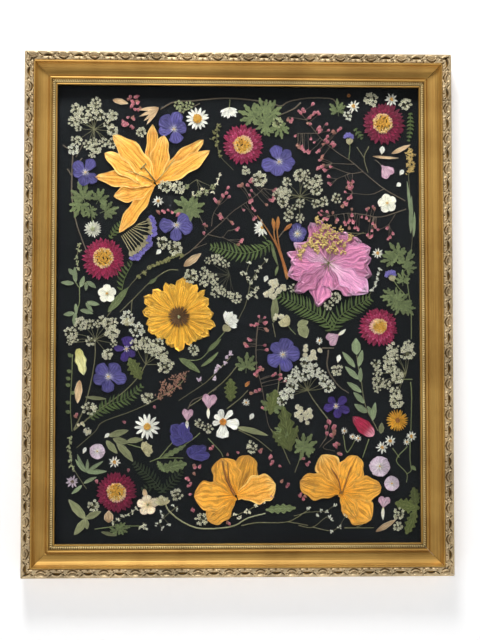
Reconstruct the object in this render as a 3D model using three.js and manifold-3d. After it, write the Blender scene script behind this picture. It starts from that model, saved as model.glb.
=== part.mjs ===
// Pressed flower frame: an ornate gilt picture frame with a glazed rebate, a dark mount card
// and a crowd of pressed garden flowers laid flat on the card behind the glass.
//
// Millimetres, +Z up. The front faces -Y and the wall is towards +Y. The origin is the middle
// notch of the sawtooth hanger, which is the point a wall hook holds.
import * as THREE from 'three';
import { mergeVertices } from 'three/addons/utils/BufferGeometryUtils.js';
import Module from 'manifold-3d';

const wasm = await Module();
wasm.setup();

// ---- driving dimensions ------------------------------------------------------------------

const INCH = 25.4;
const SIGHT_WIDTH = 15.5 * INCH; // the opening that the eye sees
const SIGHT_HEIGHT = 19.5 * INCH;
const PICTURE_WIDTH = 16 * INCH; // glass, card and backing board are all this size
const PICTURE_HEIGHT = 20 * INCH;

const RAIL_WIDTH = 36.2;
const FLANK_HEIGHT = 9.5; // flat outer side of a rail, up from its back
const REBATE_WIDTH = 7.9;
const REBATE_DEPTH = 14;
const FIT = 0.3; // clearance between touching pieces

const BACKING_BACK = 2.8; // heights are measured forward from the rails' back face
const BACKING_THICKNESS = 2.5;
const CARD_THICKNESS = 1.5;
const SPACER_WIDTH = 5;
const SPACER_DEPTH = 4;
const GLASS_THICKNESS = 2;
const BLOOM_THICKNESS = 1.2;

const CARD_BACK = BACKING_BACK + BACKING_THICKNESS + FIT;
const CARD_FRONT = CARD_BACK + CARD_THICKNESS;
const SPACER_BACK = CARD_FRONT + FIT;
const GLASS_BACK = SPACER_BACK + SPACER_DEPTH + FIT;

const POINT = { length: 19, width: 6, thickness: 0.5, grip: 8 };
const POINT_BACK = BACKING_BACK - FIT - POINT.thickness;

const HANGER = { length: 44, height: 10, thickness: 0.8, rise: 1.6, middle: 27, step: 1.5 };
const TOOTH = { width: 3, depth: 2.2, count: 7 };
const HANGER_FROM_SIGHT = 20.5; // sight edge to the middle of the hanger
const NAIL = { shank: 0.8, head: 2.1, headThickness: 0.7, length: 10, spacing: 37 };
const BUMPER = { radius: 6, thickness: 3, inset: 14 };

const BACK_OF_HANGER = FIT + HANGER.rise + HANGER.thickness;
const NOTCH = {
  y: BACK_OF_HANGER - HANGER.thickness / 2,
  z: SIGHT_HEIGHT / 2 + HANGER_FROM_SIGHT - HANGER.height / 2 + TOOTH.depth,
};

// ---- finishes ----------------------------------------------------------------------------

const finish = (color, roughness, metalness = 0) =>
  new THREE.MeshStandardMaterial({ color, roughness, metalness });

const FINISH = {
  giltWood: finish(0xb08338, 0.4, 0.5),
  giltOrnament: finish(0xcbb183, 0.5, 0.4),
  glass: new THREE.MeshStandardMaterial({ color: 0xf4f8f6, roughness: 0.05, transparent: true, opacity: 0.2 }),
  spacer: finish(0x141414, 0.7),
  card: finish(0x1e2023, 0.9),
  backing: finish(0x8a6a45, 0.85),
  steel: finish(0xb4b4b0, 0.35, 1),
  felt: finish(0x3b352d, 0.95),
  crimson: finish(0x8f1738, 0.8),
  violet: finish(0x5d55a3, 0.8),
  purple: finish(0x43277a, 0.8),
  orange: finish(0xf0a63a, 0.8),
  yellow: finish(0xeab437, 0.8),
  pink: finish(0xcf79b4, 0.8),
  blush: finish(0xd9c3cd, 0.8),
  white: finish(0xf3f1ea, 0.8),
  cream: finish(0xe2dd9b, 0.8),
};

// ---- solids ------------------------------------------------------------------------------

/** A closed manifold solid of a geometry, with its shared vertices merged. */
function solidOf(geometry) {
  const bare = geometry.clone();
  bare.deleteAttribute('normal');
  bare.deleteAttribute('uv');
  const merged = mergeVertices(bare, 1e-4);
  const mesh = new wasm.Mesh({
    numProp: 3,
    vertProperties: new Float32Array(merged.attributes.position.array),
    triVerts: new Uint32Array(merged.index.array),
  });
  return new wasm.Manifold(mesh);
}

/** The geometry of a manifold solid. */
function geometryOf(solid) {
  const mesh = solid.getMesh();
  const geometry = new THREE.BufferGeometry();
  geometry.setAttribute('position', new THREE.BufferAttribute(mesh.vertProperties, 3));
  geometry.setIndex(new THREE.BufferAttribute(mesh.triVerts, 1));
  return geometry;
}

/** A geometry with the given cutters taken out of it. */
function cut(geometry, cutters) {
  let solid = solidOf(geometry);
  for (const cutter of cutters) solid = solid.subtract(solidOf(cutter));
  return geometryOf(solid);
}

/** A box from two opposite corners. */
function box(low, high) {
  const size = high.map((value, axis) => value - low[axis]);
  const geometry = new THREE.BoxGeometry(...size);
  geometry.translate(...low.map((value, axis) => value + size[axis] / 2));
  return geometry;
}

/** A cylinder along Y from y0 to y1. */
function peg(radius, y0, y1, x = 0, z = 0, sides = 16) {
  const geometry = new THREE.CylinderGeometry(radius, radius, y1 - y0, sides);
  geometry.translate(x, (y0 + y1) / 2, z);
  return geometry;
}

/** A flat piece of a given outline in X and Z, from one height above the back to another. */
function plate(outline, back, front) {
  const shape = new THREE.Shape(outline.map(([x, z]) => new THREE.Vector2(x, z)));
  const geometry = new THREE.ExtrudeGeometry(shape, { depth: front - back, bevelEnabled: false });
  geometry.rotateX(Math.PI / 2);
  geometry.translate(0, -back, 0);
  return geometry;
}

// ---- mouldings ---------------------------------------------------------------------------

/** Points of the concave cove, from the fillet down to the groove. */
function cove() {
  const centre = { out: 10.4, front: 25.4 };
  const reach = { out: 11.7, front: 9 };
  const steps = 7;
  return Array.from({ length: steps + 1 }, (_, step) => {
    const angle = THREE.MathUtils.degToRad(6 + (84 * step) / steps);
    return [centre.out + reach.out * Math.cos(angle), centre.front - reach.front * Math.sin(angle)];
  });
}

/** Each section is points of [outward from the sight edge, forward from the back]. */
const RAIL_SECTION = [
  [REBATE_WIDTH, 0],
  [RAIL_WIDTH, 0],
  [RAIL_WIDTH, FLANK_HEIGHT],
  [34.6, 20.6],
  [34.4, 21.3],
  [23.9, 22.9],
  [23.7, 25.4],
  [22.3, 25.6],
  ...cove(),
  [9.2, 15.7],
  [8.6, 16.8],
  [7.8, 18.6],
  [6.9, 19.0],
  [6.0, 18.5],
  [5.4, 17.2],
  [5.3, 16.4],
  [1.3, 16.4],
  [1.2, 17.3],
  [0, 17.5],
  [0, REBATE_DEPTH],
  [REBATE_WIDTH, REBATE_DEPTH],
];

const SCROLL_SECTION = [
  [34.1, 21.65],
  [34.0, 22.4],
  [33.2, 24.7],
  [31.3, 26.4],
  [29.0, 27.1],
  [26.6, 26.8],
  [24.9, 25.5],
  [24.2, 23.15],
];

const BEAD_SECTION = [
  [5.0, 16.7],
  [4.9, 17.8],
  [4.2, 18.9],
  [3.3, 19.2],
  [2.4, 18.9],
  [1.7, 17.9],
  [1.6, 16.7],
];

const SPACER_SECTION = [
  [(SIGHT_WIDTH - PICTURE_WIDTH) / -2 - SPACER_WIDTH, SPACER_BACK],
  [(SIGHT_WIDTH - PICTURE_WIDTH) / -2, SPACER_BACK],
  [(SIGHT_WIDTH - PICTURE_WIDTH) / -2, SPACER_BACK + SPACER_DEPTH],
  [(SIGHT_WIDTH - PICTURE_WIDTH) / -2 - SPACER_WIDTH, SPACER_BACK + SPACER_DEPTH],
];

/** The four sides of the frame: turn about Y, half the sight length, and sight edge from the middle. */
const SIDES = {
  bottom: { turn: 0, half: SIGHT_WIDTH / 2, offset: SIGHT_HEIGHT / 2 },
  right: { turn: -Math.PI / 2, half: SIGHT_HEIGHT / 2, offset: SIGHT_WIDTH / 2 },
  top: { turn: Math.PI, half: SIGHT_WIDTH / 2, offset: SIGHT_HEIGHT / 2 },
  left: { turn: Math.PI / 2, half: SIGHT_HEIGHT / 2, offset: SIGHT_WIDTH / 2 },
};

/** A length of moulding along the bottom side, with both ends mitred at 45 degrees. */
function moulding(section, side) {
  const shape = new THREE.Shape(section.map(([out, front]) => new THREE.Vector2(out, front)));
  const geometry = new THREE.ExtrudeGeometry(shape, { depth: 1, bevelEnabled: false });
  const position = geometry.attributes.position;
  const mitreGap = 0.22;
  for (let i = 0; i < position.count; i += 1) {
    const out = position.getX(i);
    const front = position.getY(i);
    const end = 1 - 2 * position.getZ(i);
    position.setXYZ(i, end * (side.half + out - mitreGap), -front, -(side.offset + out));
  }
  return geometry;
}

/** Slots in a rail's rebate wall for the framer's points, at the given places along it. */
function pointSlots(side, places) {
  const wall = -(side.offset + REBATE_WIDTH);
  const depth = POINT.grip + FIT;
  return places.map((along) =>
    box(
      [along - POINT.width / 2 - FIT, -(POINT_BACK + POINT.thickness + FIT), wall - depth],
      [along + POINT.width / 2 + FIT, -(POINT_BACK - FIT), wall + 1],
    ),
  );
}

/** A framer's point: a thin steel tab, pushed into its slot and lying over the backing board. */
function framersPoint(side, along) {
  const wall = -(side.offset + REBATE_WIDTH);
  return box(
    [along - POINT.width / 2, -(POINT_BACK + POINT.thickness), wall - POINT.grip],
    [along + POINT.width / 2, -POINT_BACK, wall + POINT.length - POINT.grip],
  );
}

/** Places of the framer's points along each side. */
const POINT_PLACES = { bottom: [0], right: [-125, 125], top: [0], left: [-125, 125] };

// ---- hanger ------------------------------------------------------------------------------

const HANGER_Z = SIGHT_HEIGHT / 2 + HANGER_FROM_SIGHT;
const NAIL_HOLE = NAIL.shank + FIT;
const NAIL_XS = [-NAIL.spacing / 2, NAIL.spacing / 2];

/** A sawtooth hanger: a steel strip, raised in the middle, with a row of notches underneath. */
function sawtoothHanger() {
  const { length, height, thickness, rise, middle, step } = HANGER;
  const low = [
    [-length / 2, FIT],
    [-middle / 2 - step, FIT],
    [-middle / 2, FIT + rise],
    [middle / 2, FIT + rise],
    [middle / 2 + step, FIT],
    [length / 2, FIT],
  ];
  const high = low.map(([x, y]) => [x, y + thickness]).reverse();
  const shape = new THREE.Shape([...low, ...high].map(([x, y]) => new THREE.Vector2(x, y)));
  const strip = new THREE.ExtrudeGeometry(shape, { depth: height, bevelEnabled: false });
  strip.translate(0, 0, HANGER_Z - height / 2);
  return cut(strip, [...hangerNotches(), ...NAIL_XS.map((x) => peg(NAIL_HOLE, -1, 4, x, HANGER_Z))]);
}

/** The V-shaped notches along the hanger's lower edge. */
function hangerNotches() {
  const bottom = HANGER_Z - HANGER.height / 2;
  return Array.from({ length: TOOTH.count }, (_, index) => {
    const middle = (index - (TOOTH.count - 1) / 2) * (TOOTH.width + 0.5);
    const outline = [
      [middle - TOOTH.width / 2, bottom - 1],
      [middle + TOOTH.width / 2, bottom - 1],
      [middle + TOOTH.width / 2, bottom],
      [middle, bottom + TOOTH.depth],
      [middle - TOOTH.width / 2, bottom],
    ];
    return plate(outline, -5, 0);
  });
}

/** A pin that fixes the hanger to the top rail. */
function hangerNail() {
  const underHead = FIT + HANGER.thickness + FIT;
  const profile = [
    [0, -NAIL.length],
    [NAIL.shank, -NAIL.length],
    [NAIL.shank, underHead],
    [NAIL.head, underHead],
    [NAIL.head, underHead + NAIL.headThickness],
    [0, underHead + NAIL.headThickness],
  ];
  return new THREE.LatheGeometry(profile.map(([x, y]) => new THREE.Vector2(x, y)), 16);
}

/** The holes that the hanger's two nails go into, written for a rail along the bottom side. */
function nailHoles() {
  return NAIL_XS.map((x) => peg(NAIL_HOLE, -NAIL.length - FIT, 1, x, -HANGER_Z));
}

// ---- pressed blooms ----------------------------------------------------------------------

/** Places are in X and Z from the middle of the frame. */

/** A round head with a lightly toothed edge. */
function discOutline(x, z, radius, teeth, depth = 0.035, count = 44) {
  return Array.from({ length: count }, (_, step) => {
    const angle = (2 * Math.PI * step) / count;
    const reach = radius * (1 + depth * Math.cos(teeth * angle));
    return [x + reach * Math.cos(angle), z + reach * Math.sin(angle)];
  });
}

/** How far a petal of [degrees, length, width] reaches in a direction from the flower's middle. */
function petalReach(angle, [degrees, length, width]) {
  const turn = THREE.MathUtils.euclideanModulo(angle - THREE.MathUtils.degToRad(degrees) + Math.PI, 2 * Math.PI);
  const off = Math.abs(turn - Math.PI);
  const spread = 1.35 * Math.atan2(width / 2, 0.6 * length);
  return off < spread ? length * Math.sqrt(Math.cos((off / spread) * (Math.PI / 2))) : 0;
}

/** The outline around a flower's open petals. */
function flowerOutline({ at: [x, z], core, petals }, count = 48) {
  return Array.from({ length: count }, (_, step) => {
    const angle = (2 * Math.PI * step) / count;
    const reach = Math.max(core, ...petals.map((petal) => petalReach(angle, petal)));
    return [x + reach * Math.cos(angle), z + reach * Math.sin(angle)];
  });
}

/** Even petals all the way round. */
function evenPetals(count, length, width, first = 0) {
  return Array.from({ length: count }, (_, index) => [first + (360 * index) / count, length, width]);
}

const STRAWFLOWERS = {
  strawflower_top: [4.5, 185, 22],
  strawflower_top_right: [160, 208.5, 23],
  strawflower_left: [-147, 58.5, 22.5],
  strawflower_right: [152.5, -15.5, 21],
  strawflower_bottom_left: [-131.5, -193.5, 21.5],
};

const GERANIUMS = {
  geranium_top: {
    at: [-71, 201],
    core: 7,
    petals: [[135, 20, 15], [82, 20, 12], [15, 13, 12], [285, 15.5, 13], [190, 16.5, 11]],
  },
  geranium_under_parsley: {
    at: [44, 166],
    core: 7,
    petals: [[105, 19, 12], [197, 19, 14], [45, 18, 9], [2, 17, 9], [330, 15, 10], [260, 15, 14]],
  },
  geranium_middle_left: {
    at: [-68, 96],
    core: 7,
    petals: [[178, 18, 14], [40, 15.5, 12], [348, 17, 14], [268, 18, 12]],
  },
  geranium_narrow: {
    at: [-121.5, -39],
    core: 4,
    petals: [[80, 14, 14], [180, 14, 7], [320, 12, 8], [256, 14.5, 9]],
  },
  geranium_lower_left: {
    at: [-141, -69],
    core: 7,
    petals: [[132, 16.5, 12], [50, 16.5, 13], [348, 19, 12], [265, 16.5, 12], [195, 16.5, 12]],
  },
  geranium_centre: {
    at: [48, -45],
    core: 8,
    petals: [[75, 17.5, 14], [138, 16.5, 10], [5, 18, 14], [212, 18, 14], [285, 19, 12]],
  },
  geranium_deep_purple: {
    at: [106, -101],
    core: 5,
    petals: [[38, 14.5, 9], [128, 12.5, 8], [190, 14, 9], [280, 13.5, 9], [335, 16, 9]],
  },
};

const PRIMROSES = {
  primrose_left: { at: [-143, 21], core: 6, petals: evenPetals(5, 9.5, 9, 20) },
  primrose_right: { at: [163, 121], core: 6, petals: evenPetals(6, 10, 9, 30) },
};

const DAISIES = {
  daisy_top: { at: [-45.5, 213], core: 7, petals: evenPetals(12, 12, 4) },
  daisy_lower_left: { at: [-99, -123], core: 5.5, petals: evenPetals(12, 14, 4, 20) },
};

const COREOPSIS = {
  at: [-65, -4],
  core: 24,
  petals: [
    [88, 42, 17], [114, 39, 10], [133, 40, 12], [150, 43, 13], [172, 39, 11], [192, 36, 12],
    [208, 36, 12], [232, 29, 12], [258, 34, 16], [274, 37, 11], [295, 31, 8], [314, 34, 11],
    [330, 38, 11], [347, 40, 12], [4, 37, 12], [30, 37, 13], [45, 40, 6], [62, 39, 7],
  ],
};

const COSMOS = {
  at: [-17, -118],
  core: 6,
  petals: [[100, 13.5, 7], [54, 15.5, 6], [348, 17.5, 12], [268, 17.5, 14], [145, 11.5, 6], [188, 11.5, 6]],
};

/** The half-flower of an orange lily, its petals pressed out like a hand. */
const LILY = [
  [-88, 144], [-65, 146], [-50, 151], [-38, 161], [-30, 172], [-30, 174.5], [-46, 171], [-54, 170],
  [-46, 180], [-39, 188], [-40, 190.5], [-53, 188.5], [-64, 182], [-70, 177.5], [-76, 187], [-85, 193],
  [-92, 194], [-99, 205], [-102, 185], [-116, 193], [-129.5, 199], [-126, 186], [-122, 173.5],
  [-134, 172], [-147, 172.5], [-142, 165], [-142, 157], [-154.5, 150], [-145, 140.5], [-132, 131],
  [-134, 123], [-130, 119], [-120, 117.5], [-126, 102], [-131, 88.5], [-128, 88], [-114, 98.5],
  [-103, 109], [-97, 122], [-93, 136],
];

const ALSTROEMERIA_LEFT = [
  [-2, -200], [-12, -219], [-23, -227], [-32, -227.5], [-31, -217], [-40, -214.5], [-47.5, -210.5],
  [-46, -195], [-49.5, -183], [-40, -177.5], [-33.5, -177], [-34, -167], [-30, -159], [-20, -157.5],
  [-8, -161], [-2, -160], [7, -154.5], [17, -155], [21, -160], [21.5, -166], [30, -165.5], [37, -168],
  [39.5, -180], [37.5, -186], [40, -190], [34, -198], [18, -201],
];

const ALSTROEMERIA_RIGHT = [
  [111, -199.5], [95, -202.5], [80, -201], [71, -196.5], [65.5, -187], [66.5, -177], [73, -171.5],
  [80, -169], [81, -158], [88, -152.5], [96, -152.5], [107, -162], [115, -158], [129, -154.5],
  [138, -163], [137.5, -172], [136, -177], [146, -177.5], [154.5, -181], [155, -195], [146, -203.5],
  [149, -212], [147.5, -223], [140, -228], [128, -225.5], [117, -218], [113, -208],
];

const PEONY = [
  [88, 103], [80, 99], [77, 90], [76, 78], [60, 74], [54, 70], [54, 62], [60, 56], [58, 49], [64, 46],
  [57, 39], [65, 35], [73, 35], [65, 29], [70, 27], [70, 20], [77, 15.5], [82, 13], [84, 8.5], [93, 18],
  [101, 25], [111, 24], [115, 17], [122, 17.5], [134, 23], [140.5, 23], [137.5, 32], [138, 40],
  [144, 40], [139.5, 47], [143, 53], [142, 62], [142.5, 71], [138, 82], [128, 81.5], [116, 88], [101, 99],
];

const CRIMSON_PETAL = [
  [124, -119], [126, -112.5], [131, -112], [142, -120], [147, -131], [146, -134], [142, -134], [133, -130],
];

const TULIP_PETAL = [
  [-176, -38], [-169, -43.5], [-164.5, -52], [-166, -67.5], [-168, -67.5], [-175, -57], [-178, -47],
];

/** Bindweed and aster heads: place and radius, with the number of teeth and their depth. */
const ROUND_HEADS = {
  bindweed_left: { place: [-152.5, -149.5, 8.3, 5, 0.03], finish: FINISH.blush },
  bindweed_right: { place: [153.5, -166.5, 11, 7, 0.03], finish: FINISH.blush },
  bindweed_lower_right: { place: [166.5, -185, 8.1, 6, 0.03], finish: FINISH.blush },
  aster: { place: [173, -116.5, 11.8, 11, 0.08], finish: FINISH.yellow },
};

/** Every bloom as [name, outline, finish]. */
function blooms() {
  const discs = Object.entries(STRAWFLOWERS).map(([name, [x, z, radius]]) => [
    name,
    discOutline(x, z, radius, 22),
    FINISH.crimson,
  ]);
  const flowers = (group, chosen) =>
    Object.entries(group).map(([name, flower]) => [name, flowerOutline(flower), chosen]);
  const heads = Object.entries(ROUND_HEADS).map(([name, head]) => [
    name,
    discOutline(...head.place, 44),
    head.finish,
  ]);
  return [
    ...discs,
    ...flowers(GERANIUMS, FINISH.violet),
    ...flowers(PRIMROSES, FINISH.white),
    ...flowers(DAISIES, FINISH.white),
    ['coreopsis', flowerOutline(COREOPSIS, 72), FINISH.yellow],
    ['cosmos', flowerOutline(COSMOS), FINISH.white],
    ['lily', LILY, FINISH.orange],
    ['alstroemeria_left', ALSTROEMERIA_LEFT, FINISH.orange],
    ['alstroemeria_right', ALSTROEMERIA_RIGHT, FINISH.orange],
    ['peony', PEONY, FINISH.pink],
    ['crimson_petal', CRIMSON_PETAL, FINISH.crimson],
    ['tulip_petal', TULIP_PETAL, FINISH.cream],
    ...heads,
  ];
}

// ---- assembly ----------------------------------------------------------------------------

const frame = new THREE.Group();
frame.position.set(0, -NOTCH.y, -NOTCH.z); // brings the hanger's middle notch to the origin

/** Adds a named mesh to a group. */
function add(group, name, geometry, material) {
  const mesh = new THREE.Mesh(geometry, material);
  mesh.name = name;
  group.add(mesh);
  return mesh;
}

/** One side of the frame: its rail, applied ornament, spacer and framer's points. */
function buildSide(name, side) {
  const group = new THREE.Group();
  group.rotation.y = side.turn;
  const holes = name === 'top' ? nailHoles() : [];
  const cutters = [...pointSlots(side, POINT_PLACES[name]), ...holes];
  add(group, `rail_${name}`, cut(moulding(RAIL_SECTION, side), cutters), FINISH.giltWood);
  add(group, `scroll_ornament_${name}`, moulding(SCROLL_SECTION, side), FINISH.giltOrnament);
  add(group, `bead_ornament_${name}`, moulding(BEAD_SECTION, side), FINISH.giltOrnament);
  add(group, `spacer_${name}`, moulding(SPACER_SECTION, side), FINISH.spacer);
  POINT_PLACES[name].forEach((along, index) => {
    add(group, `framers_point_${name}_${index + 1}`, framersPoint(side, along), FINISH.steel);
  });
  frame.add(group);
}

/** A sheet of the picture's size, from one height above the back to another. */
function sheet(back, thickness) {
  return box(
    [-PICTURE_WIDTH / 2, -(back + thickness), -PICTURE_HEIGHT / 2],
    [PICTURE_WIDTH / 2, -back, PICTURE_HEIGHT / 2],
  );
}

Object.entries(SIDES).forEach(([name, side]) => buildSide(name, side));
add(frame, 'glass_pane', sheet(GLASS_BACK, GLASS_THICKNESS), FINISH.glass);
add(frame, 'mount_card', sheet(CARD_BACK, CARD_THICKNESS), FINISH.card);
add(frame, 'backing_board', sheet(BACKING_BACK, BACKING_THICKNESS), FINISH.backing);

add(frame, 'hanger', sawtoothHanger(), FINISH.steel);
NAIL_XS.forEach((x, index) => {
  const nail = add(frame, `hanger_nail_${index + 1}`, hangerNail(), FINISH.steel);
  nail.position.set(x, 0, HANGER_Z);
});

const BUMPER_X = SIGHT_WIDTH / 2 + RAIL_WIDTH - BUMPER.inset;
const BUMPER_Z = -(SIGHT_HEIGHT / 2 + RAIL_WIDTH - BUMPER.inset);
[-BUMPER_X, BUMPER_X].forEach((x, index) => {
  const pad = peg(BUMPER.radius, FIT, FIT + BUMPER.thickness, x, BUMPER_Z, 24);
  add(frame, `felt_bumper_${index + 1}`, pad, FINISH.felt);
});

for (const [name, outline, material] of blooms()) {
  add(frame, name, plate(outline, SPACER_BACK, SPACER_BACK + BLOOM_THICKNESS), material);
}

const part = new THREE.Group();
part.add(frame);
export default part;
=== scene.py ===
"""Pressed flower frame: carved gilt mouldings, and a card of pressed flowers behind glass.

The card's specimens are laid out in millimetres from the middle of the card, as (x, z) seen from the front,
with a height above the card's face. Petals, leaves, bracts and florets are all blades: sheets over two
parameters, one along the blade from its base to its tip and one across it.
"""

import logging
import math
import zlib
from dataclasses import dataclass, field, replace
from enum import Enum
from typing import Callable, Iterable, Sequence

import bpy
import numpy as np
from mathutils import Matrix, Vector

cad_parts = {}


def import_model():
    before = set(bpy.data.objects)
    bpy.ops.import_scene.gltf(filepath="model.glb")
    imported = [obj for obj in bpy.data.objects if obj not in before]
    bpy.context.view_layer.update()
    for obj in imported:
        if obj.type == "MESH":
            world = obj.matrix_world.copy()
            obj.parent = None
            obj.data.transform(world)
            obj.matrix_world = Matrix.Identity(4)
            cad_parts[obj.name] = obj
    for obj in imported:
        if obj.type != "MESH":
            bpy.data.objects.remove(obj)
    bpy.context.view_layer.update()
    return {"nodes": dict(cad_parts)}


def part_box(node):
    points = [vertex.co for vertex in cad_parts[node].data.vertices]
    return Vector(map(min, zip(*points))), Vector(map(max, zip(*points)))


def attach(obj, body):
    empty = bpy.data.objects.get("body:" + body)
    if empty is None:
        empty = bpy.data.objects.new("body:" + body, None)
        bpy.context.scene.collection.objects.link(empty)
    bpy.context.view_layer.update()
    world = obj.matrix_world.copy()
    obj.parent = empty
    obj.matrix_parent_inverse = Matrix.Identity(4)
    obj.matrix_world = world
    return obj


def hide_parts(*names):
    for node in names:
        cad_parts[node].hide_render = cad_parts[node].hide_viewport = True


MM = 0.001
UNDER_GLASS = 4.2
GOLDEN_ANGLE = 2.39996
LOG = logging.getLogger("pressed_flower_frame")
Colour = tuple[float, float, float]
Spot = tuple[float, float]


def paint(code: str) -> Colour:
    """Turns a screen colour into linear light.

    Args:
        code: the colour as six hexadecimal digits.

    Returns:
        Red, green and blue in linear light.
    """
    values = np.array([int(code[i:i + 2], 16) for i in (0, 2, 4)]) / 255
    linear = np.where(values <= 0.04045, values / 12.92, ((values + 0.055) / 1.055) ** 2.4)
    return tuple(float(value) for value in linear)


def chance(name: str) -> np.random.Generator:
    """A random source that is always the same for one name."""
    return np.random.default_rng(zlib.crc32(name.encode()))


# ---- shader wiring -----------------------------------------------------------------------


class Wiring:
    """Places and joins shader nodes in one tree."""

    def __init__(self, tree: bpy.types.NodeTree) -> None:
        """Keeps the tree that is wired."""
        self.tree = tree

    def feed(self, socket: bpy.types.NodeSocket, value: object) -> None:
        """Joins a socket to another one, or sets its value.

        Args:
            socket: the input to feed.
            value: an output, a colour or a plain value.
        """
        if isinstance(value, bpy.types.NodeSocket):
            self.tree.links.new(value, socket)
        elif isinstance(value, tuple) and socket.type == "RGBA":
            socket.default_value = (*value[:3], 1.0)
        else:
            socket.default_value = value

    def node(self, kind: str, inputs: dict | None = None, **settings: object) -> bpy.types.Node:
        """Adds a node.

        Args:
            kind: the node's type.
            inputs: values or sockets by input name or number.
            settings: the node's own settings.

        Returns:
            The new node.
        """
        made = self.tree.nodes.new(kind)
        for key, value in settings.items():
            setattr(made, key, value)
        for key, value in (inputs or {}).items():
            self.feed(made.inputs[key], value)
        return made

    def math(self, operation: str, a: object, b: object = 0.0, clamp: bool = False) -> bpy.types.NodeSocket:
        """The result of one math operation on two values."""
        return self.node("ShaderNodeMath", {0: a, 1: b}, operation=operation, use_clamp=clamp).outputs[0]

    def plus(self, a: object, b: object, clamp: bool = False) -> bpy.types.NodeSocket:
        """The sum of two values."""
        return self.math("ADD", a, b, clamp)

    def times(self, a: object, b: object, clamp: bool = False) -> bpy.types.NodeSocket:
        """The product of two values."""
        return self.math("MULTIPLY", a, b, clamp)

    def mix(self, factor: object, a: object, b: object) -> bpy.types.NodeSocket:
        """Colour a where factor is 0 and colour b where it is 1."""
        return self.node("ShaderNodeMix", {0: factor, 6: a, 7: b}, data_type="RGBA").outputs[2]

    def step(self, value: object, low: object, high: object, start: float = 0.0,
            end: float = 1.0) -> bpy.types.NodeSocket:
        """A smooth step of value, from start at low to end at high."""
        inputs = {"Value": value, "From Min": low, "From Max": high, "To Min": start, "To Max": end}
        return self.node("ShaderNodeMapRange", inputs, interpolation_type="SMOOTHSTEP").outputs["Result"]

    def noise(self, scale: object, detail: float = 3.0,
            stretch: Colour = (1, 1, 1)) -> bpy.types.NodeSocket:
        """Noise on the object's own coordinates, in metres.

        Args:
            scale: how many grains a metre holds.
            detail: how many finer layers it has.
            stretch: a factor on each axis.

        Returns:
            The noise, from 0 to 1.
        """
        place = self.node("ShaderNodeTexCoord").outputs["Object"]
        scaled = self.node("ShaderNodeMapping", {"Vector": place, "Scale": stretch}).outputs[0]
        inputs = {"Vector": scaled, "Scale": scale, "Detail": detail}
        return self.node("ShaderNodeTexNoise", inputs).outputs["Fac"]

    def mark(self, name: str) -> bpy.types.NodeSocket:
        """A number that the mesh carries at each point."""
        return self.node("ShaderNodeAttribute", attribute_name=name).outputs["Fac"]


def new_group(name: str, colours: Sequence[str], numbers: Sequence[str],
        outputs: Sequence[str]) -> tuple[bpy.types.NodeTree, dict, bpy.types.Node]:
    """Starts a shader node group.

    Args:
        name: the group's name.
        colours: names of its colour inputs.
        numbers: names of its number inputs.
        outputs: names of its outputs, of which Color is a colour and the rest are numbers.

    Returns:
        The group, its input sockets by name, and its output node.
    """
    group = bpy.data.node_groups.new(name, "ShaderNodeTree")
    for label in colours:
        group.interface.new_socket(label, in_out="INPUT", socket_type="NodeSocketColor")
    for label in numbers:
        group.interface.new_socket(label, in_out="INPUT", socket_type="NodeSocketFloat")
    for label in outputs:
        kind = "NodeSocketColor" if label == "Color" else "NodeSocketFloat"
        group.interface.new_socket(label, in_out="OUTPUT", socket_type=kind)
    source = group.nodes.new("NodeGroupInput")
    return group, {s.name: s for s in source.outputs if s.name}, group.nodes.new("NodeGroupOutput")


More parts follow.
